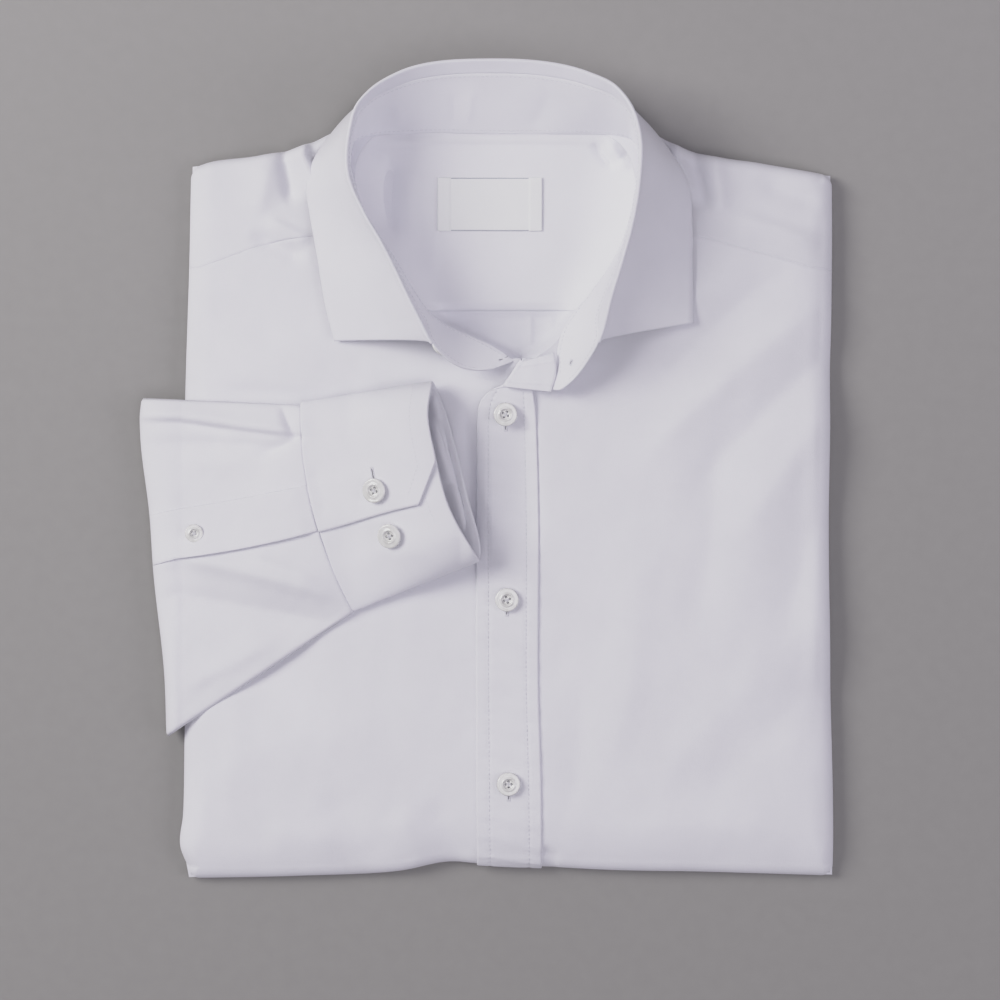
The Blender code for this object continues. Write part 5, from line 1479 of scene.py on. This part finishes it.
def make_buttonholes(placket, cuff_cloth, stand, sewing, cuff_sewing):
    """Slits with stitched edges under the buttons and at the collar's free end; each slit is a dark bar of
    painted shade.
    """
    points, faces = [], []

    def hole(cloth, row, column, lines, width=0.5):
        line, normals = line_on(cloth, row, column)
        lines.buttonhole(line, normals)
        # A thin dark bar along the slit: painted shade where the opening lies in shadow.
        centre, direction, normal = tidy_line(line, normals, 0.5)
        side = unit(np.cross(normal, direction)) * width / 2
        side = side * np.sin(np.linspace(0.12, math.pi - 0.12, len(centre)))[:, None] ** 0.5
        top, under = centre + normal * 0.05, centre - normal * 0.2
        grid = np.stack([top + side, top - side, under - side, under + side], 1)
        first = sum(len(part) for part in points)
        faces.extend(capped_faces(np.arange(grid.shape[0] * 4).reshape(-1, 4) + first))
        points.append(grid.reshape(-1, 3))

    flat = placket.outer
    for button in FRONT_BUTTONS:
        middle = int(np.argmin(np.hypot(flat[:205, 18, 0] - button.x, flat[:205, 18, 1] - button.y)))
        left, right = flat[middle, 0, 0], flat[middle, -1, 0]
        column = (button.x - left) / (right - left) * (flat.shape[1] - 1)
        hole(placket, np.linspace(middle - 7.0, middle + 3.0, HOLE_STEPS), column, sewing)
    last = cuff_cloth.outer.shape[1] - 1
    columns = np.interp(
        np.linspace(CUFF_HOLE.start, CUFF_HOLE.end, HOLE_STEPS),
        spaced(0.0, CUFF_OVER_END, CUFF_UPPER_COLUMNS)[1:],
        np.arange(last - CUFF_UPPER_COLUMNS + 2, last + 1),
    )
    hole(cuff_cloth, CUFF_HOLE.along / CUFF_SEAM_PART * (CUFF_SEAM_ROWS - 1), columns, cuff_sewing)
    inner = inside_out(stand)
    near = np.hypot(inner.outer[-60:, :, 0] - COLLAR_HOLE[0], inner.outer[-60:, :, 1] - COLLAR_HOLE[1])
    row, column = np.unravel_index(np.argmin(near), near.shape)
    row += len(inner.outer) - 60
    hole(inner, np.linspace(row - 2.5, row + 2.5, HOLE_STEPS), column, sewing, 0.2)
    # The dark bars in the slits are painted shade.
    return add_mesh("buttonhole_slits_painted_shade", placed(np.concatenate(points)), faces, SLIT_PAINTED_SHADE)


def make_collar_button(sewing):
    place = float(np.interp(COLLAR_BUTTON_SECTION, np.arange(len(COLLAR)), COLLAR_KEYS))
    normal = surface_normal(stand_point, place, COLLAR_BUTTON_HEIGHT, 0.02, up=-1)
    reach = STAND_WALL / 2 + 0.6 + SMALL_BUTTON_THICKNESS / 2
    point = stand_point(place, COLLAR_BUTTON_HEIGHT) + normal * reach
    place_button(
        "collar_button_pearl", "collar_button", point, normal,
        COLLAR_BUTTON_DIAMETER, SMALL_BUTTON_THICKNESS, 0.0, sewing,
    )


def as_cloth(piece, node):
    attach(piece, "root")
    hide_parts(node)


def make_shirt():
    body_sewing, cuff_sewing = Sewing(), Sewing()
    layers = make_layers()
    right, left = make_fronts()
    yoke = shell("yoke_cloth", yoke_rows(), FRONT_WALL, COTTON)
    lining, back = make_inside()
    placket = make_placket(body_sewing)
    stand = make_stand(body_sewing)
    leaf = make_leaf()
    sleeve_cloth = make_sleeve()
    gauntlet = make_gauntlet(cuff_sewing)
    cuff_cloth = make_cuff(cuff_sewing)
    label = make_label()
    make_buttons(body_sewing)
    make_collar_button(body_sewing)
    slits = make_buttonholes(placket, cuff_cloth, stand, body_sewing, cuff_sewing)
    border = make_label_border(label)
    threads = body_sewing.made("body_stitches", THREAD)
    cuff_threads = cuff_sewing.made("sleeve_stitches", THREAD)
    for piece in (threads, cuff_threads, slits, border):
        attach(piece, "root")
    as_cloth(layers, "folded_layers")
    as_cloth(right.piece, "right_front")
    as_cloth(left.piece, "left_front")
    as_cloth(yoke.piece, "yoke")
    as_cloth(lining.piece, "yoke_lining")
    as_cloth(back.piece, "back")
    as_cloth(placket.piece, "front_placket")
    as_cloth(stand.piece, "collar_stand")
    as_cloth(leaf.piece, "collar_leaf")
    as_cloth(sleeve_cloth.piece, "right_sleeve")
    as_cloth(gauntlet.piece, "sleeve_gauntlet")
    as_cloth(cuff_cloth.piece, "right_cuff")
    as_cloth(label.piece, "label")


def make_floor():
    made, tree, shader, place = new_material(
        "studio_floor", (0.40, 0.392, 0.385), 0.95, Specular_IOR_Level=0.1
    )
    grain = add_noise(tree, place["Object"], 140.0, detail=4.0)
    # The floor darkens towards the bottom of the view and a little to the right: a painted fall-off of
    # light, laid over its fine grain.
    painted_falloff = tree.nodes.new("ShaderNodeTexGradient")
    mapping = tree.nodes.new("ShaderNodeMapping")
    mapping.inputs["Rotation"].default_value = (0, 0, math.radians(80))
    mapping.inputs["Location"].default_value = (0.42, 0, 0)
    tree.links.new(place["Object"], mapping.inputs["Vector"])
    tree.links.new(mapping.outputs["Vector"], painted_falloff.inputs["Vector"])
    tone = combine(tree, "ADD", combine(tree, "MULTIPLY", grain, 0.2), painted_falloff.outputs["Fac"])
    add_colour(tree, shader, tone, (0.425, 0.417, 0.412), (0.305, 0.298, 0.292), 0.1, 1.15)
    half = FLOOR_HALF_SIZE
    corners = [(-half, -half), (half, -half), (half, half), (-half, half)]
    points = np.array([(x, y, -FLOOR_DROP) for x, y in corners])
    add_mesh("floor", points, [(0, 1, 2, 3)], made, smooth=False)


def add_light(name, location, size, energy, colour):
    """A square soft light that looks at the middle of the shirt."""
    data = bpy.data.lights.new(name, "AREA")
    data.shape = "SQUARE"
    data.size = size
    data.energy = energy
    data.color = colour
    made = add_object(name, data)
    made.location = location
    made.rotation_euler = (-Vector(location)).to_track_quat("-Z", "Y").to_euler()


# The studio, in metres
FLOOR_HALF_SIZE = 3.0
FLOOR_DROP = 0.0002
CAMERA_PLACE = (0.0057, -0.0141, 1.5)
CAMERA_SENSOR_WIDTH = 36
CAMERA_LENS = 111.4
Light = namedtuple("Light", "name location size energy colour")
LIGHTS = table(Light, [
    ("key_light", (-1.60, 0.60, 1.38), 1.05, 28.0, (1.0, 0.99, 0.955)),
    ("top_light", (0.1, -0.45, 2.25), 1.3, 9.0, (0.985, 0.975, 1.0)),
    ("right_fill", (1.6, -0.3, 1.2), 1.2, 8.2, (0.97, 0.94, 1.0)),
])


# How bright each scene light level is shown: straight at first, then softly held back
TONES = [
    (0.0, 0.0), (0.2, 0.2), (0.4, 0.4), (0.6, 0.58), (0.73, 0.662), (0.85, 0.71), (1.0, 0.742),
    (1.6, 0.81), (3.0, 0.94), (4.0, 1.0),
]


def set_tones(settings):
    settings.view_transform = "Standard"
    settings.use_curve_mapping = True
    mapping = settings.curve_mapping
    mapping.use_clip = False
    tone = mapping.curves[3]
    tone.points[0].location = TONES[0]
    tone.points[1].location = TONES[-1]
    for place in TONES[1:-1]:
        tone.points.new(*place)
    mapping.update()


def make_studio():
    make_floor()
    for light in LIGHTS:
        add_light(*light)
    world = bpy.data.worlds.new("studio")
    bpy.context.scene.world = world
    world.use_nodes = True
    background = world.node_tree.nodes["Background"]
    background.inputs["Color"].default_value = (0.94, 0.885, 1.04, 1)
    background.inputs["Strength"].default_value = 0.235
    set_tones(bpy.context.scene.view_settings)
    data = bpy.data.cameras.new("photo_camera")
    data.sensor_width = CAMERA_SENSOR_WIDTH
    data.lens = CAMERA_LENS
    camera = add_object("photo_camera", data)
    camera.location = CAMERA_PLACE
    bpy.context.scene.camera = camera


make_shirt()
make_studio()
bpy.context.view_layer.update()
